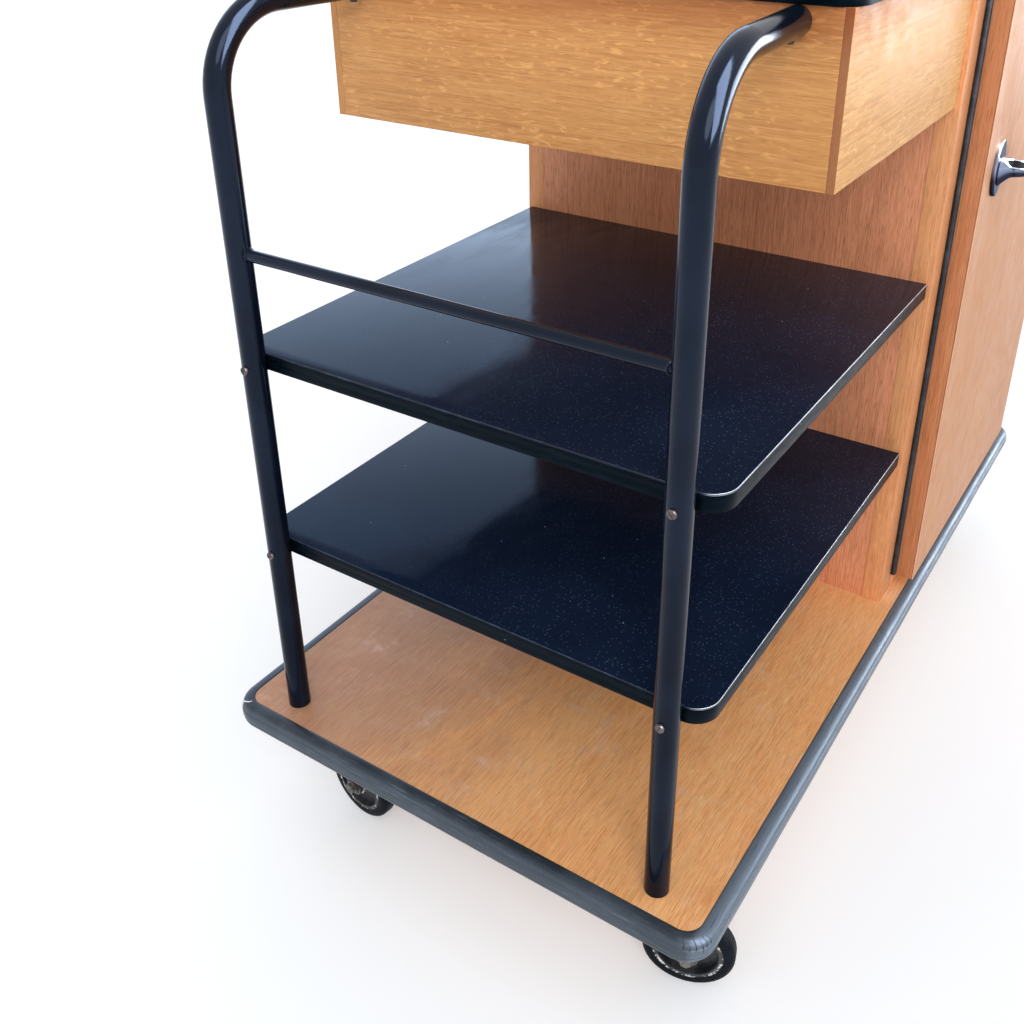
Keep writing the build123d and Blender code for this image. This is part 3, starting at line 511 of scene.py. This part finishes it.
NODE_FINISH = {
    "deck_board": OAK["deck"],
    "deck_bumper": BUMPER,
    "deck_battens": BEECH,
    "castor_plates": CASTOR_STEEL,
    "castor_screws": ZINC,
    "upright_door_side": ENAMEL,
    "upright_drawer_side": ENAMEL,
    "tie_rail": ENAMEL,
    "upright_foot_studs": ZINC,
    "upright_top_spigots": ZINC,
    "spigot_screws": DARK_METAL,
    "shelf_screws": BRONZE,
    "lower_shelf_core": EDGE,
    "lower_shelf_sheet": SHEET,
    "upper_shelf_core": EDGE,
    "upper_shelf_sheet": SHEET,
    "shelf_dowels": BEECH,
    "cabinet_posts": OAK["stile"],
    "cabinet_push_panel": OAK["panel"],
    "cabinet_far_panel": OAK["outer_panel"],
    "cabinet_back_panel": OAK["outer_panel"],
    "cabinet_front_rails": OAK["rail"],
    "cabinet_floor_panel": INSIDE["X"],
    "cabinet_shelf": INSIDE["X"],
    "cabinet_shelf_pins": ZINC,
    "door_gasket": SEAL,
    "hinge_frame_leaves": CHROME,
    "hinge_door_leaves": CHROME,
    "hinge_pins": CHROME,
    "worktop_core": EDGE,
    "worktop_sheet": SHEET,
    "box_end_panel": OAK["box_end"],
    "box_side_panel": OAK["box_side"],
    "box_bottom_panel": PALE_WOOD["X"],
    "drawer_guides": BEECH,
    "door_core": INSIDE["Z"],
    "door_lipping": OAK["lipping"],
    "door_veneer": OAK["door_face"],
    "handle_rose": CHROME,
    "latch_lever": CHROME,
    "lever_inlay": INLAY,
    "latch_spindle": ZINC,
    "latch_tongue": ZINC,
    "drawer_face": OAK["drawer_face"],
    "drawer_sides": PALE_WOOD["Y"],
    "drawer_ends": PALE_WOOD["X"],
    "drawer_bottom": PALE_WOOD["Y"],
    "drawer_pull": CHROME,
}
for place in CASTORS:
    NODE_FINISH[f"castor_fork_{place}"] = CASTOR_STEEL
    NODE_FINISH[f"castor_wheel_{place}"] = wheel_paint(place)
    NODE_FINISH[f"castor_tyre_{place}"] = TYRE
for node, finish in NODE_FINISH.items():
    nodes[node].data.materials.clear()
    nodes[node].data.materials.append(finish)


# Building and placing pieces
SHARP_ANGLE = math.radians(35)
FLAT_ANGLE = math.radians(1)
SAME_POINT = 0.000002


def new_piece(name, form, finish, body, smooth_angle=40):
    """Turns a bmesh into a piece that rides on a body."""
    mesh = bpy.data.meshes.new(name)
    form.to_mesh(mesh)
    form.free()
    mesh.materials.append(finish)
    mesh.polygons.foreach_set("use_smooth", [True] * len(mesh.polygons))
    mesh.set_sharp_from_angle(angle=math.radians(smooth_angle))
    piece = bpy.data.objects.new(name, mesh)
    bpy.context.scene.collection.objects.link(piece)
    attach(piece, body)
    return piece


def sharp_edges(form):
    return [edge for edge in form.edges if edge.calc_face_angle(0) > SHARP_ANGLE]


def ease(form, edges, width, material=-1):
    """Rounds edges off, and gives the new faces a material number if there is one."""
    bmesh.ops.bevel(
        form, geom=edges, offset=width, segments=2, profile=0.6, affect="EDGES", clamp_overlap=True,
        material=material,
    )


def eased(node, width, arris_finish=None):
    """Stands in for a node: the same solid with its sharp edges eased, and the eased faces given a finish of their
    own if asked.
    """
    form = bmesh.new()
    form.from_mesh(nodes[node].data)
    bmesh.ops.remove_doubles(form, verts=form.verts, dist=SAME_POINT)
    bmesh.ops.dissolve_limit(form, angle_limit=FLAT_ANGLE, verts=form.verts, edges=form.edges)
    ease(form, sharp_edges(form), width, 1 if arris_finish else -1)
    piece = new_piece(f"{node}_eased", form, NODE_FINISH[node], bodies[node], smooth_angle=50)
    if arris_finish:
        piece.data.materials.append(arris_finish)
    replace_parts(piece, node)


BOARD_EASE = 0.0009
PANEL_EASE = 0.0006
METAL_EASE = 0.0004
VENEER_EASE = 0.0005
for node in (
    "lower_shelf_core", "upper_shelf_core", "worktop_core", "deck_battens", "cabinet_posts",
    "cabinet_front_rails", "cabinet_shelf", "drawer_sides", "drawer_ends", "drawer_guides",
):
    eased(node, BOARD_EASE)
for node in (
    "cabinet_push_panel", "cabinet_far_panel", "cabinet_back_panel", "box_end_panel", "box_side_panel",
    "box_bottom_panel", "drawer_face", "door_gasket",
):
    eased(node, PANEL_EASE)
eased("door_lipping", PANEL_EASE, GLUE_LINE)
for node in ("lower_shelf_sheet", "upper_shelf_sheet", "worktop_sheet"):
    eased(node, PANEL_EASE, SHEET_RIM)
eased("door_veneer", VENEER_EASE, ARRIS)
for node in ("hinge_frame_leaves", "hinge_door_leaves", "latch_tongue"):
    eased(node, METAL_EASE)


def ring_tube(rings, closed_path=False):
    """Joins rings of points, each as long as the next, into one skin, capped unless its path is closed."""
    form = bmesh.new()
    rows = [[form.verts.new(point) for point in ring] for ring in rings]
    pairs = list(zip(rows, rows[1:]))
    if closed_path:
        pairs.append((rows[-1], rows[0]))
    for first, second in pairs:
        for index in range(len(first)):
            after = (index + 1) % len(first)
            form.faces.new((first[index], first[after], second[after], second[index]))
    if not closed_path:
        form.faces.new(list(reversed(rows[0])))
        form.faces.new(rows[-1])
    bmesh.ops.recalc_face_normals(form, faces=form.faces)
    return form


# Bumper: a ribbed half oval strip round the deck, with a lip along each edge
BUMPER_LOW, BUMPER_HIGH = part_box("deck_bumper")
DECK_CORNER = 0.018
BUMPER_REACH = DECK_LOW.x - BUMPER_LOW.x
BUMPER_HALF = (BUMPER_HIGH.z - BUMPER_LOW.z) / 2
BUMPER_LEVEL = (BUMPER_HIGH.z + BUMPER_LOW.z) / 2
BUMPER_LIP = 0.0007
BUMPER_WAVER = 0.0002
WAVER_RATES = (0.37, 0.11)
# Powers that make the section squarer than an oval: out and up above its middle, and out below
SQUARE_OUT = 0.60
SQUARE_UP = 0.80
ROUND_OUT = 0.9
GROOVE_DEPTH = 0.0012
# Angle up from the strip's middle, width in degrees and share of the full depth
GROOVES = ((26, 3.4, 0.8), (34, 3.0, 0.4), (-8, 3.6, 1.0), (-20, 3.2, 0.5), (-40, 3.4, 0.6))
SECTION_ROWS = 66


def deck_outline(spacing=0.012, turns=14):
    """Points round the edge of the deck, each with its outward direction."""
    half_x = (DECK_HIGH.x - DECK_LOW.x) / 2 - DECK_CORNER
    half_y = (DECK_HIGH.y - DECK_LOW.y) / 2 - DECK_CORNER
    middle = Vector(((DECK_HIGH.x + DECK_LOW.x) / 2, (DECK_HIGH.y + DECK_LOW.y) / 2))
    corners = ((half_x, half_y), (-half_x, half_y), (-half_x, -half_y), (half_x, -half_y))
    stations = []
    for number, (x, y) in enumerate(corners):
        for turn in range(turns + 1):
            angle = math.radians(90) * (number + turn / turns)
            away = Vector((math.cos(angle), math.sin(angle)))
            stations.append((middle + Vector((x, y)) + DECK_CORNER * away, away))
        next_x, next_y = corners[(number + 1) % len(corners)]
        run = Vector((next_x - x, next_y - y))
        steps = int(run.length / spacing)
        start = stations[-1][0]
        stations.extend((start + run * step / steps, away) for step in range(1, steps))
    return stations


def strip_curve(angle):
    """Shares of the strip's reach and half height at an angle, squarer above its middle than below."""
    if angle > 0:
        return math.cos(angle) ** SQUARE_OUT, math.sin(angle) ** SQUARE_UP
    return math.cos(angle) ** ROUND_OUT, math.sin(angle)


def groove_dip(angle):
    """How deep the grooves cut into the strip at an angle."""
    return sum(
        GROOVE_DEPTH * share * math.exp(-((math.degrees(angle) - centre) / width) ** 2)
        for centre, width, share in GROOVES
    )


def bumper_section(wobble):
    """Distances out and up of the strip's section, from its flat top round to its bottom lip."""
    section = [(0.0, BUMPER_HALF - BUMPER_LIP), (BUMPER_LIP, BUMPER_HALF)]
    for row in range(1, SECTION_ROWS):
        angle = math.radians(90 - 180 * row / SECTION_ROWS)
        dip = groove_dip(angle)
        reach = BUMPER_REACH - dip + wobble * math.cos(angle)
        out, up = strip_curve(angle)
        section.append((reach * out, (BUMPER_HALF - dip / 2) * up))
    section += [(BUMPER_LIP, -BUMPER_HALF), (0.0, -BUMPER_HALF + BUMPER_LIP)]
    return section


def bumper_strip():
    rings = []
    for number, (place, away) in enumerate(deck_outline()):
        fast, slow = (number * rate for rate in WAVER_RATES)
        wobble = -BUMPER_WAVER + BUMPER_WAVER * math.sin(fast) * math.cos(slow)
        rings.append([
            (place.x + away.x * out, place.y + away.y * out, BUMPER_LEVEL + up)
            for out, up in bumper_section(wobble)
        ])
    form = ring_tube(rings, closed_path=True)
    return new_piece("bumper_strip", form, BUMPER, "trolley", smooth_angle=60)


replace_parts(bumper_strip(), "deck_bumper")

MARK_STEPS = 10
MARK_THICKNESS = 0.0012
MARK_BLUNTNESS = 0.12
MARK_HALF_WAVES = 1.5


def bumper_mark(name, corner_turn, low_angle, high_angle, width, finish, bend=0.0, proud=0.0002):
    """A thin sliver across the strip at a corner of the push end: a crack, a split or a nail."""
    corner = Vector((DECK_LOW.x + DECK_CORNER, DECK_LOW.y + DECK_CORNER))
    if corner_turn < 0:
        corner.y = DECK_HIGH.y - DECK_CORNER
    rings = []
    for step in range(MARK_STEPS + 1):
        share = step / MARK_STEPS
        angle = math.radians(low_angle + (high_angle - low_angle) * share)
        turn = math.radians(180 + corner_turn) + bend * math.sin(share * math.pi * MARK_HALF_WAVES)
        half = width / 2 * max(math.sin(share * math.pi), MARK_BLUNTNESS)
        out, up = strip_curve(angle)
        out = DECK_CORNER + (BUMPER_REACH + proud) * out
        up = (BUMPER_HALF + proud) * up
        away = Vector((math.cos(turn), math.sin(turn)))
        across = Vector((-away.y, away.x)) * half
        outward = Vector((away.x * math.cos(angle), away.y * math.cos(angle), math.sin(angle)))
        inward = outward * -MARK_THICKNESS
        centre = Vector((corner.x + away.x * out, corner.y + away.y * out, BUMPER_LEVEL + up))
        side = Vector((across.x, across.y, 0))
        rings.append([centre - side, centre + side, centre + side + inward, centre - side + inward])
    return new_piece(name, ring_tube(rings), finish, "trolley")


# Turn round the corner, angles where the crack starts and ends, and its width
CRACKS = (
    (22, 30, 78, 0.0016), (33, 22, 60, 0.0005), (43, 18, 80, 0.0009), (55, 10, 66, 0.0005),
    (63, 25, 76, 0.0006), (72, 30, 70, 0.0005),
)
NAIL_PROUD = 0.0010
for number, (turn, low, high, width) in enumerate(CRACKS):
    bumper_mark(f"bumper_crack_{number + 1}", turn, low, high, width, CRACK, bend=0.03)
bumper_mark("bumper_nail", -34, 22, 84, 0.0021, PALE_NAIL, bend=-0.14, proud=NAIL_PROUD)
bumper_mark("bumper_nail_hook", -40, 14, 40, 0.0019, PALE_NAIL, bend=0.12, proud=NAIL_PROUD)


# Latch lever: a cast lever that flares at the rose, turns through a bend and tapers to its tip
ROSE_LOW, ROSE_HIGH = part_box("handle_rose")
LEVER_LOW, LEVER_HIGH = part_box("latch_lever")
LATCH_X = (ROSE_LOW.x + ROSE_HIGH.x) / 2
LATCH_Z = (ROSE_LOW.z + ROSE_HIGH.z) / 2
LEVER_ROOT_Y = LEVER_HIGH.y
LEVER_HALF = 0.0075
LEVER_AXIS_Y = LEVER_LOW.y + LEVER_HALF
LEVER_BEND = 0.017
LEVER_ARC = LEVER_BEND * math.pi / 2
LEVER_STRAIGHT = LEVER_ROOT_Y - LEVER_AXIS_Y - LEVER_BEND
LEVER_ARM = LEVER_HIGH.x - LATCH_X - LEVER_BEND
LEVER_RUN = LEVER_STRAIGHT + LEVER_ARC + LEVER_ARM
# Way along, half width, half height, rise of the middle and the share left of the bevelled corner
LEVER_SECTIONS = (
    (0.000, 0.0100, 0.0173, -0.0033, 1.00),
    (0.006, 0.0086, 0.0137, -0.0005, 0.95),
    (0.012, 0.0080, 0.0105, 0.0015, 0.76),
    (0.018, 0.0078, 0.0096, 0.0022, 0.72),
    (0.026, 0.0076, 0.0085, 0.0025, 0.72),
    (0.050, 0.0074, 0.0079, 0.0025, 0.74),
    (0.110, 0.0070, 0.0068, 0.0022, 0.80),
    (0.160, 0.0050, 0.0050, 0.0018, 0.90),
)
# The corner faces up and outwards
LEVER_CORNER = (-0.7071, 0.7071)
LEVER_SQUARENESS = 0.80
MOST_LEFT_SHARE = 0.995
LEVER_STEPS = 90
TIP_STEPS = 6
TIP_ROUNDNESS = 0.5
TIP_END = 0.05
SECTION_STEPS = 44
BEVEL_STEPS = 4
SEARCH_STEPS = 180


def lever_point(run):
    """A point of the lever's centre line and its direction, level all the way."""
    if run < LEVER_STRAIGHT:
        return Vector((LATCH_X, LEVER_ROOT_Y - run, LATCH_Z)), Vector((0, -1, 0))
    if run < LEVER_STRAIGHT + LEVER_ARC:
        angle = (run - LEVER_STRAIGHT) / LEVER_BEND
        x = LATCH_X + LEVER_BEND * (1 - math.cos(angle))
        y = LEVER_ROOT_Y - LEVER_STRAIGHT - LEVER_BEND * math.sin(angle)
        return Vector((x, y, LATCH_Z)), Vector((math.sin(angle), -math.cos(angle), 0))
    x = LATCH_X + LEVER_BEND + run - LEVER_STRAIGHT - LEVER_ARC
    return Vector((x, LEVER_AXIS_Y, LATCH_Z)), Vector((1, 0, 0))


def lever_size(run):
    """The section's sizes at a distance along, on a smooth curve through the table."""
    last = len(LEVER_SECTIONS) - 1
    number = max(index for index in range(last) if LEVER_SECTIONS[index][0] <= run)
    start, end = LEVER_SECTIONS[number], LEVER_SECTIONS[number + 1]
    before, after = LEVER_SECTIONS[max(number - 1, 0)], LEVER_SECTIONS[min(number + 2, last)]
    gap = end[0] - start[0]
    way = (run - start[0]) / gap
    sizes = []
    for low, high, left, right in zip(start[1:], end[1:], before[1:], after[1:]):
        rise_in = (high - left) / (end[0] - before[0]) * gap
        rise_out = (right - low) / (after[0] - start[0]) * gap
        square, cube = way ** 2, way ** 3
        sizes.append(
            (2 * cube - 3 * square + 1) * low + (cube - 2 * square + way) * rise_in
            + (3 * square - 2 * cube) * high + (cube - square) * rise_out
        )
    return sizes


def lever_outline(run):
    """The section as pairs of across and up, and the two ends of its bevelled corner."""
    half_width, half_height, rise, left = lever_size(run)

    def point(angle):
        across, up = math.cos(math.radians(angle)), math.sin(math.radians(angle))
        return (
            math.copysign(abs(across) ** LEVER_SQUARENESS, across) * half_width,
            math.copysign(abs(up) ** LEVER_SQUARENESS, up) * half_height,
        )

    def out(angle):
        across, up = point(angle)
        return across * LEVER_CORNER[0] + up * LEVER_CORNER[1]

    angles = [90 + 90 * step / SEARCH_STEPS for step in range(SEARCH_STEPS + 1)]
    peak = max(angles, key=out)
    limit = out(peak) * min(left, MOST_LEFT_SHARE)
    first = max((angle for angle in angles if angle <= peak and out(angle) <= limit), default=angles[0])
    second = min((angle for angle in angles if angle >= peak and out(angle) <= limit), default=angles[-1])
    sweep = 360 - (second - first)
    outline = [point(second + sweep * step / SECTION_STEPS) for step in range(SECTION_STEPS + 1)]
    ends = outline[-1], outline[0]
    for step in range(1, BEVEL_STEPS):
        outline.append(tuple(a + (b - a) * step / BEVEL_STEPS for a, b in zip(*ends)))
    return [(across, up + rise) for across, up in outline], [(across, up + rise) for across, up in ends]


def lever_ring(run, shrink=1.0, spread=0.0):
    """The section's points at a distance along, shrunk and moved on to round off the tip."""
    centre, way = lever_point(run)
    side = Vector((-way.y, way.x, 0))
    rise = lever_size(run)[2]
    return [
        centre + side * across * shrink + Vector((0, 0, rise + (up - rise) * shrink)) + way * spread
        for across, up in lever_outline(run)[0]
    ]


def lever():
    rings = [lever_ring(LEVER_RUN * step / LEVER_STEPS) for step in range(LEVER_STEPS + 1)]
    tip = lever_size(LEVER_RUN)[0]
    for step in range(1, TIP_STEPS + 1):
        angle = math.radians(90) * step / TIP_STEPS
        spread = tip * math.sin(angle) * TIP_ROUNDNESS
        rings.append(lever_ring(LEVER_RUN, max(math.cos(angle), TIP_END), spread))
    form = ring_tube(rings)
    return new_piece("lever_casting", form, CHROME, "latch", smooth_angle=28)


INLAY_START = 0.0058
INLAY_END = 0.110
INLAY_RUN = INLAY_END - INLAY_START
INLAY_RIM = 0.0011
INLAY_PROUD = 0.0001
INLAY_CROWN = 0.0005
INLAY_DEPTH = 0.0012
INLAY_LEAST_HALF = 0.0002
# The inlay narrows towards its ends over this length, to a share of its width, and faster at its tip
INLAY_TAPER = 0.004
INLAY_END_SHARE = 0.1
INLAY_TIP_FACTOR = 1.5
INLAY_STEPS = 70


def inlay():
    """The black strip let into the bevelled corner, with a bright rim left round it."""
    rings = []
    for step in range(INLAY_STEPS + 1):
        run = INLAY_START + INLAY_RUN * step / INLAY_STEPS
        centre, way = lever_point(run)
        side = Vector((-way.y, way.x, 0))
        low, high = [centre + side * across + Vector((0, 0, up)) for across, up in lever_outline(run)[1]]
        chord = high - low
        out = side * LEVER_CORNER[0] + Vector((0, 0, LEVER_CORNER[1]))
        to_end = min(step, (INLAY_STEPS - step) * INLAY_TIP_FACTOR) * INLAY_RUN / INLAY_STEPS
        narrowing = min(1, INLAY_END_SHARE + to_end / INLAY_TAPER)
        half = max(chord.length / 2 - INLAY_RIM, INLAY_LEAST_HALF) * narrowing
        middle = (low + high) / 2
        reach = chord.normalized() * half
        rings.append([
            middle - reach + out * INLAY_PROUD,
            middle + out * INLAY_CROWN,
            middle + reach + out * INLAY_PROUD,
            middle + reach - out * INLAY_DEPTH,
            middle - reach - out * INLAY_DEPTH,
        ])
    return new_piece("inlay_strip", ring_tube(rings), INLAY, "latch")


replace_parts(lever(), "latch_lever")
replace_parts(inlay(), "lever_inlay")


# Welds where the tie rail meets the tubes
RAIL_LOW, RAIL_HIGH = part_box("tie_rail")
WELD_SET_IN = 0.0006
WELD_RADIUS = 0.0016
WELD_LUMP = 0.0003
WELD_LUMP_RATE = 2.1
WELD_SINK = 0.0030
WELD_TURNS = 28
WELD_SIDES = 8


def weld_bead(name, y, way):
    """A lumpy fillet round the end of the rail."""
    centre = Vector(((RAIL_LOW.x + RAIL_HIGH.x) / 2, y, (RAIL_LOW.z + RAIL_HIGH.z) / 2))
    rail_radius = (RAIL_HIGH.z - RAIL_LOW.z) / 2
    rings = []
    for turn in range(WELD_TURNS):
        angle = math.tau * turn / WELD_TURNS
        radius = WELD_RADIUS + WELD_LUMP * math.sin(turn * WELD_LUMP_RATE)
        out = Vector((math.cos(angle), 0, math.sin(angle)))
        sink = WELD_SINK * math.cos(angle) ** 2
        middle = centre + out * rail_radius + Vector((0, way * sink, 0))
        ring = []
        for part in range(WELD_SIDES):
            around = math.tau * part / WELD_SIDES
            along = Vector((0, radius * math.sin(around), 0))
            ring.append(middle + out * radius * math.cos(around) + along)
        rings.append(ring)
    return new_piece(name, ring_tube(rings, closed_path=True), ENAMEL, "trolley")


weld_bead("rail_weld_door_side", RAIL_LOW.y + WELD_SET_IN, 1)
weld_bead("rail_weld_drawer_side", RAIL_HIGH.y - WELD_SET_IN, -1)


# Dark slots in the heads of the shelf screws
SCREW_LOW, SCREW_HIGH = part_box("shelf_screws")
SCREW_HEAD = 0.009
SLOT_LENGTH_SHARE = 0.86
SLOT_SIZE = (0.0010, 0.0009, SCREW_HEAD * SLOT_LENGTH_SHARE)
SLOT_EASE = 0.2 * min(SLOT_SIZE)
SLOT_SINK = 0.0003
SCREW_TILTS = (20, -35, 60, 5)
SCREW_PLACES = [
    (y, z)
    for y in (SCREW_LOW.y + SCREW_HEAD / 2, SCREW_HIGH.y - SCREW_HEAD / 2)
    for z in (SCREW_LOW.z + SCREW_HEAD / 2, SCREW_HIGH.z - SCREW_HEAD / 2)
]


def screw_slot(name, y, z, tilt):
    """A small dark block with eased edges, turned with its screw."""
    form = bmesh.new()
    bmesh.ops.create_cube(form, size=1.0)
    bmesh.ops.scale(form, vec=SLOT_SIZE, verts=form.verts)
    ease(form, form.edges, SLOT_EASE)
    place = Matrix.Translation((SCREW_LOW.x + SLOT_SINK, y, z)) @ Matrix.Rotation(math.radians(tilt), 4, "X")
    bmesh.ops.transform(form, matrix=place, verts=form.verts)
    new_piece(name, form, CRACK, "trolley")


for number, ((y, z), tilt) in enumerate(zip(SCREW_PLACES, SCREW_TILTS)):
    screw_slot(f"shelf_screw_slot_{number + 1}", y, z, tilt)


# Ends of the grub screws that stand out under the tops of the tubes
SPIGOT_LOW, SPIGOT_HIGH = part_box("spigot_screws")
GRUB_RADIUS = (SPIGOT_HIGH.x - SPIGOT_LOW.x) / 2
GRUB_SIDES = 20
# Drop below the screw and share of its radius
GRUB_PROFILE = ((-0.001, 1.5), (0.0020, 1.5), (0.0029, 1.25), (0.0033, 0.5))


def grub_screw_end(name, y):
    x = (SPIGOT_LOW.x + SPIGOT_HIGH.x) / 2
    turns = [math.tau * part / GRUB_SIDES for part in range(GRUB_SIDES)]
    rings = []
    for drop, share in GRUB_PROFILE:
        z = SPIGOT_LOW.z - drop
        rings.append([
            Vector((x + GRUB_RADIUS * share * math.cos(turn), y + GRUB_RADIUS * share * math.sin(turn), z))
            for turn in turns
        ])
    new_piece(name, ring_tube(rings), DARK_METAL, "trolley")


grub_screw_end("grub_end_door_side", SPIGOT_LOW.y + GRUB_RADIUS)
grub_screw_end("grub_end_drawer_side", SPIGOT_HIGH.y - GRUB_RADIUS)


# Nuts and washers on the ends of the castor axles
FORK_HALF_WIDTH = 0.0174
AXLE_HEAD = 0.0030
AXLE_HALF_LENGTH = FORK_HALF_WIDTH + AXLE_HEAD
WASHER_RADIUS = 0.0085
WASHER_THICKNESS = 0.0012
WASHER_SIDES = 32
NUT_RADIUS = 0.0066
NUT_THICKNESS = 0.0045
NUT_SIDES = 6


def castor_nut(place, side):
    """The hexagon nut and washer on one end of an axle."""
    joint = joints[f"wheel_spin_{place}"]
    turn = Vector((0, 0, 1)).rotation_difference(Vector(joint["axis"]) * side).to_matrix().to_4x4()
    form = bmesh.new()
    for radius, start, end, sides in (
        (WASHER_RADIUS, AXLE_HALF_LENGTH - WASHER_THICKNESS, AXLE_HALF_LENGTH, WASHER_SIDES),
        (NUT_RADIUS, AXLE_HALF_LENGTH, AXLE_HALF_LENGTH + NUT_THICKNESS, NUT_SIDES),
    ):
        bmesh.ops.create_cone(
            form, cap_ends=True, segments=sides, radius1=radius, radius2=radius, depth=end - start,
            matrix=Matrix.Translation((0, 0, (start + end) / 2)),
        )
    ease(form, sharp_edges(form), METAL_EASE)
    bmesh.ops.transform(form, matrix=Matrix.Translation(joint["pos_m"]) @ turn, verts=form.verts)
    name = f"axle_nut_{place}_{'left' if side < 0 else 'right'}"
    new_piece(name, form, ZINC, f"castor_{place}")


for place in CASTORS:
    for side in (-1, 1):
        castor_nut(place, side)


# Camera, lamps and floor
CAMERA_PLACE = (-1.2346, (DECK_LOW.y + DECK_HIGH.y) / 2 - 0.5555, 1.1150)
CAMERA_TURN = (62.819, 0.473, -56.525)
CAMERA_LENS = 39.264
CAMERA_SENSOR = 36
CAMERA_SHIFT = (-0.02205, -0.11769)
CAMERA_CLIP = (0.01, 200)
FLOOR_HALF_SIZE = 30
FLOOR_LIFT = 0.18
MIRROR_RAYS = ("Is Glossy Ray", "Is Transmission Ray")


def camera():
    data = bpy.data.cameras.new("photo_camera")
    data.sensor_width = CAMERA_SENSOR
    data.lens = CAMERA_LENS
    data.shift_x, data.shift_y = CAMERA_SHIFT
    data.clip_start, data.clip_end = CAMERA_CLIP
    view = bpy.data.objects.new("photo_camera", data)
    view.location = CAMERA_PLACE
    view.rotation_euler = [math.radians(angle) for angle in CAMERA_TURN]
    bpy.context.scene.collection.objects.link(view)
    bpy.context.scene.camera = view


def new_lamp(data, towards, energy, tint):
    """Puts a lamp in the scene, turned to shine along a direction."""
    data.energy = energy
    data.color = tint
    lamp = bpy.data.objects.new(data.name, data)
    lamp.rotation_euler = Vector(towards).to_track_quat("-Z", "Y").to_euler()
    bpy.context.scene.collection.objects.link(lamp)
    return lamp


def sun(name, towards, strength, spread, tint):
    data = bpy.data.lights.new(name, "SUN")
    data.angle = math.radians(spread)
    new_lamp(data, towards, strength, tint)


def reflector(name, place, aim, size, radiance, tint):
    """A glowing card that is only mirrored in gloss."""
    data = bpy.data.lights.new(name, "AREA")
    data.shape = "RECTANGLE"
    data.size, data.size_y = size
    power = radiance * math.pi * size[0] * size[1]
    lamp = new_lamp(data, Vector(aim) - Vector(place), power, tint)
    lamp.location = place
    lamp.visible_diffuse = False


def studio_world(ambient, tint):
    """White where it is seen or mirrored, and a plain ambient light on everything else."""
    world = bpy.data.worlds.new("studio")
    world.use_nodes = True
    tree = world.node_tree
    seen = tree.nodes["Background"]
    seen.inputs["Color"].default_value = WHITE
    seen.inputs["Strength"].default_value = 1.0
    lit = tree.nodes.new("ShaderNodeBackground")
    lit.inputs["Color"].default_value = tint
    lit.inputs["Strength"].default_value = ambient
    rays = tree.nodes.new("ShaderNodeLightPath").outputs
    shown = rays["Is Camera Ray"]
    for kind in MIRROR_RAYS:
        either = tree.nodes.new("ShaderNodeMath")
        either.operation = "MAXIMUM"
        tree.links.new(shown, either.inputs[0])
        tree.links.new(rays[kind], either.inputs[1])
        shown = either.outputs[0]
    mixed = tree.nodes.new("ShaderNodeMixShader")
    tree.links.new(shown, mixed.inputs[0])
    tree.links.new(lit.outputs[0], mixed.inputs[1])
    tree.links.new(seen.outputs[0], mixed.inputs[2])
    tree.links.new(mixed.outputs[0], tree.nodes["World Output"].inputs["Surface"])
    bpy.context.scene.world = world


def floor_paint():
    """Pale paint, lifted to white where it is seen or mirrored."""
    shader = Shader("floor_paint", Specular_IOR_Level=0.1, Emission_Color=WHITE)
    rays = shader.add("ShaderNodeLightPath", {}).outputs
    shown = rays["Is Camera Ray"]
    for kind in MIRROR_RAYS:
        shown = shader.maths("MAXIMUM", shown, rays[kind])
    shader.put(shader.surface.inputs["Emission Strength"], shader.maths("MULTIPLY", shown, FLOOR_LIFT))
    return shader.finish(colour(239, 243, 248), 0.9)


def floor():
    form = bmesh.new()
    bmesh.ops.create_grid(form, x_segments=1, y_segments=1, size=FLOOR_HALF_SIZE)
    mesh = bpy.data.meshes.new("floor")
    form.to_mesh(mesh)
    form.free()
    mesh.materials.append(floor_paint())
    ground = bpy.data.objects.new("floor", mesh)
    bpy.context.scene.collection.objects.link(ground)


camera()
studio_world(ambient=0.86, tint=(0.96, 0.98, 1.0, 1.0))
sun("key_sun", towards=(0.62, 0.50, -0.62), strength=1.25, spread=36, tint=(1.0, 0.98, 0.95))
reflector(
    "door_side_card", place=(-0.7, -2.1, 2.7), aim=(-0.5, -0.2, 0.9), size=(1.8, 3.4), radiance=18,
    tint=(0.80, 0.89, 1.0),
)
reflector(
    "far_side_card", place=(2.7, -2.2, 1.0), aim=(0.2, -0.3, 0.15), size=(2.4, 1.4), radiance=13,
    tint=(0.80, 0.90, 1.0),
)
reflector(
    "drawer_side_card", place=(2.2, 3.0, 1.7), aim=(-0.3, 0.1, 0.6), size=(4.4, 2.4), radiance=1.0,
    tint=(0.44, 0.84, 1.45),
)
floor()
bpy.context.scene.view_settings.view_transform = "Standard"
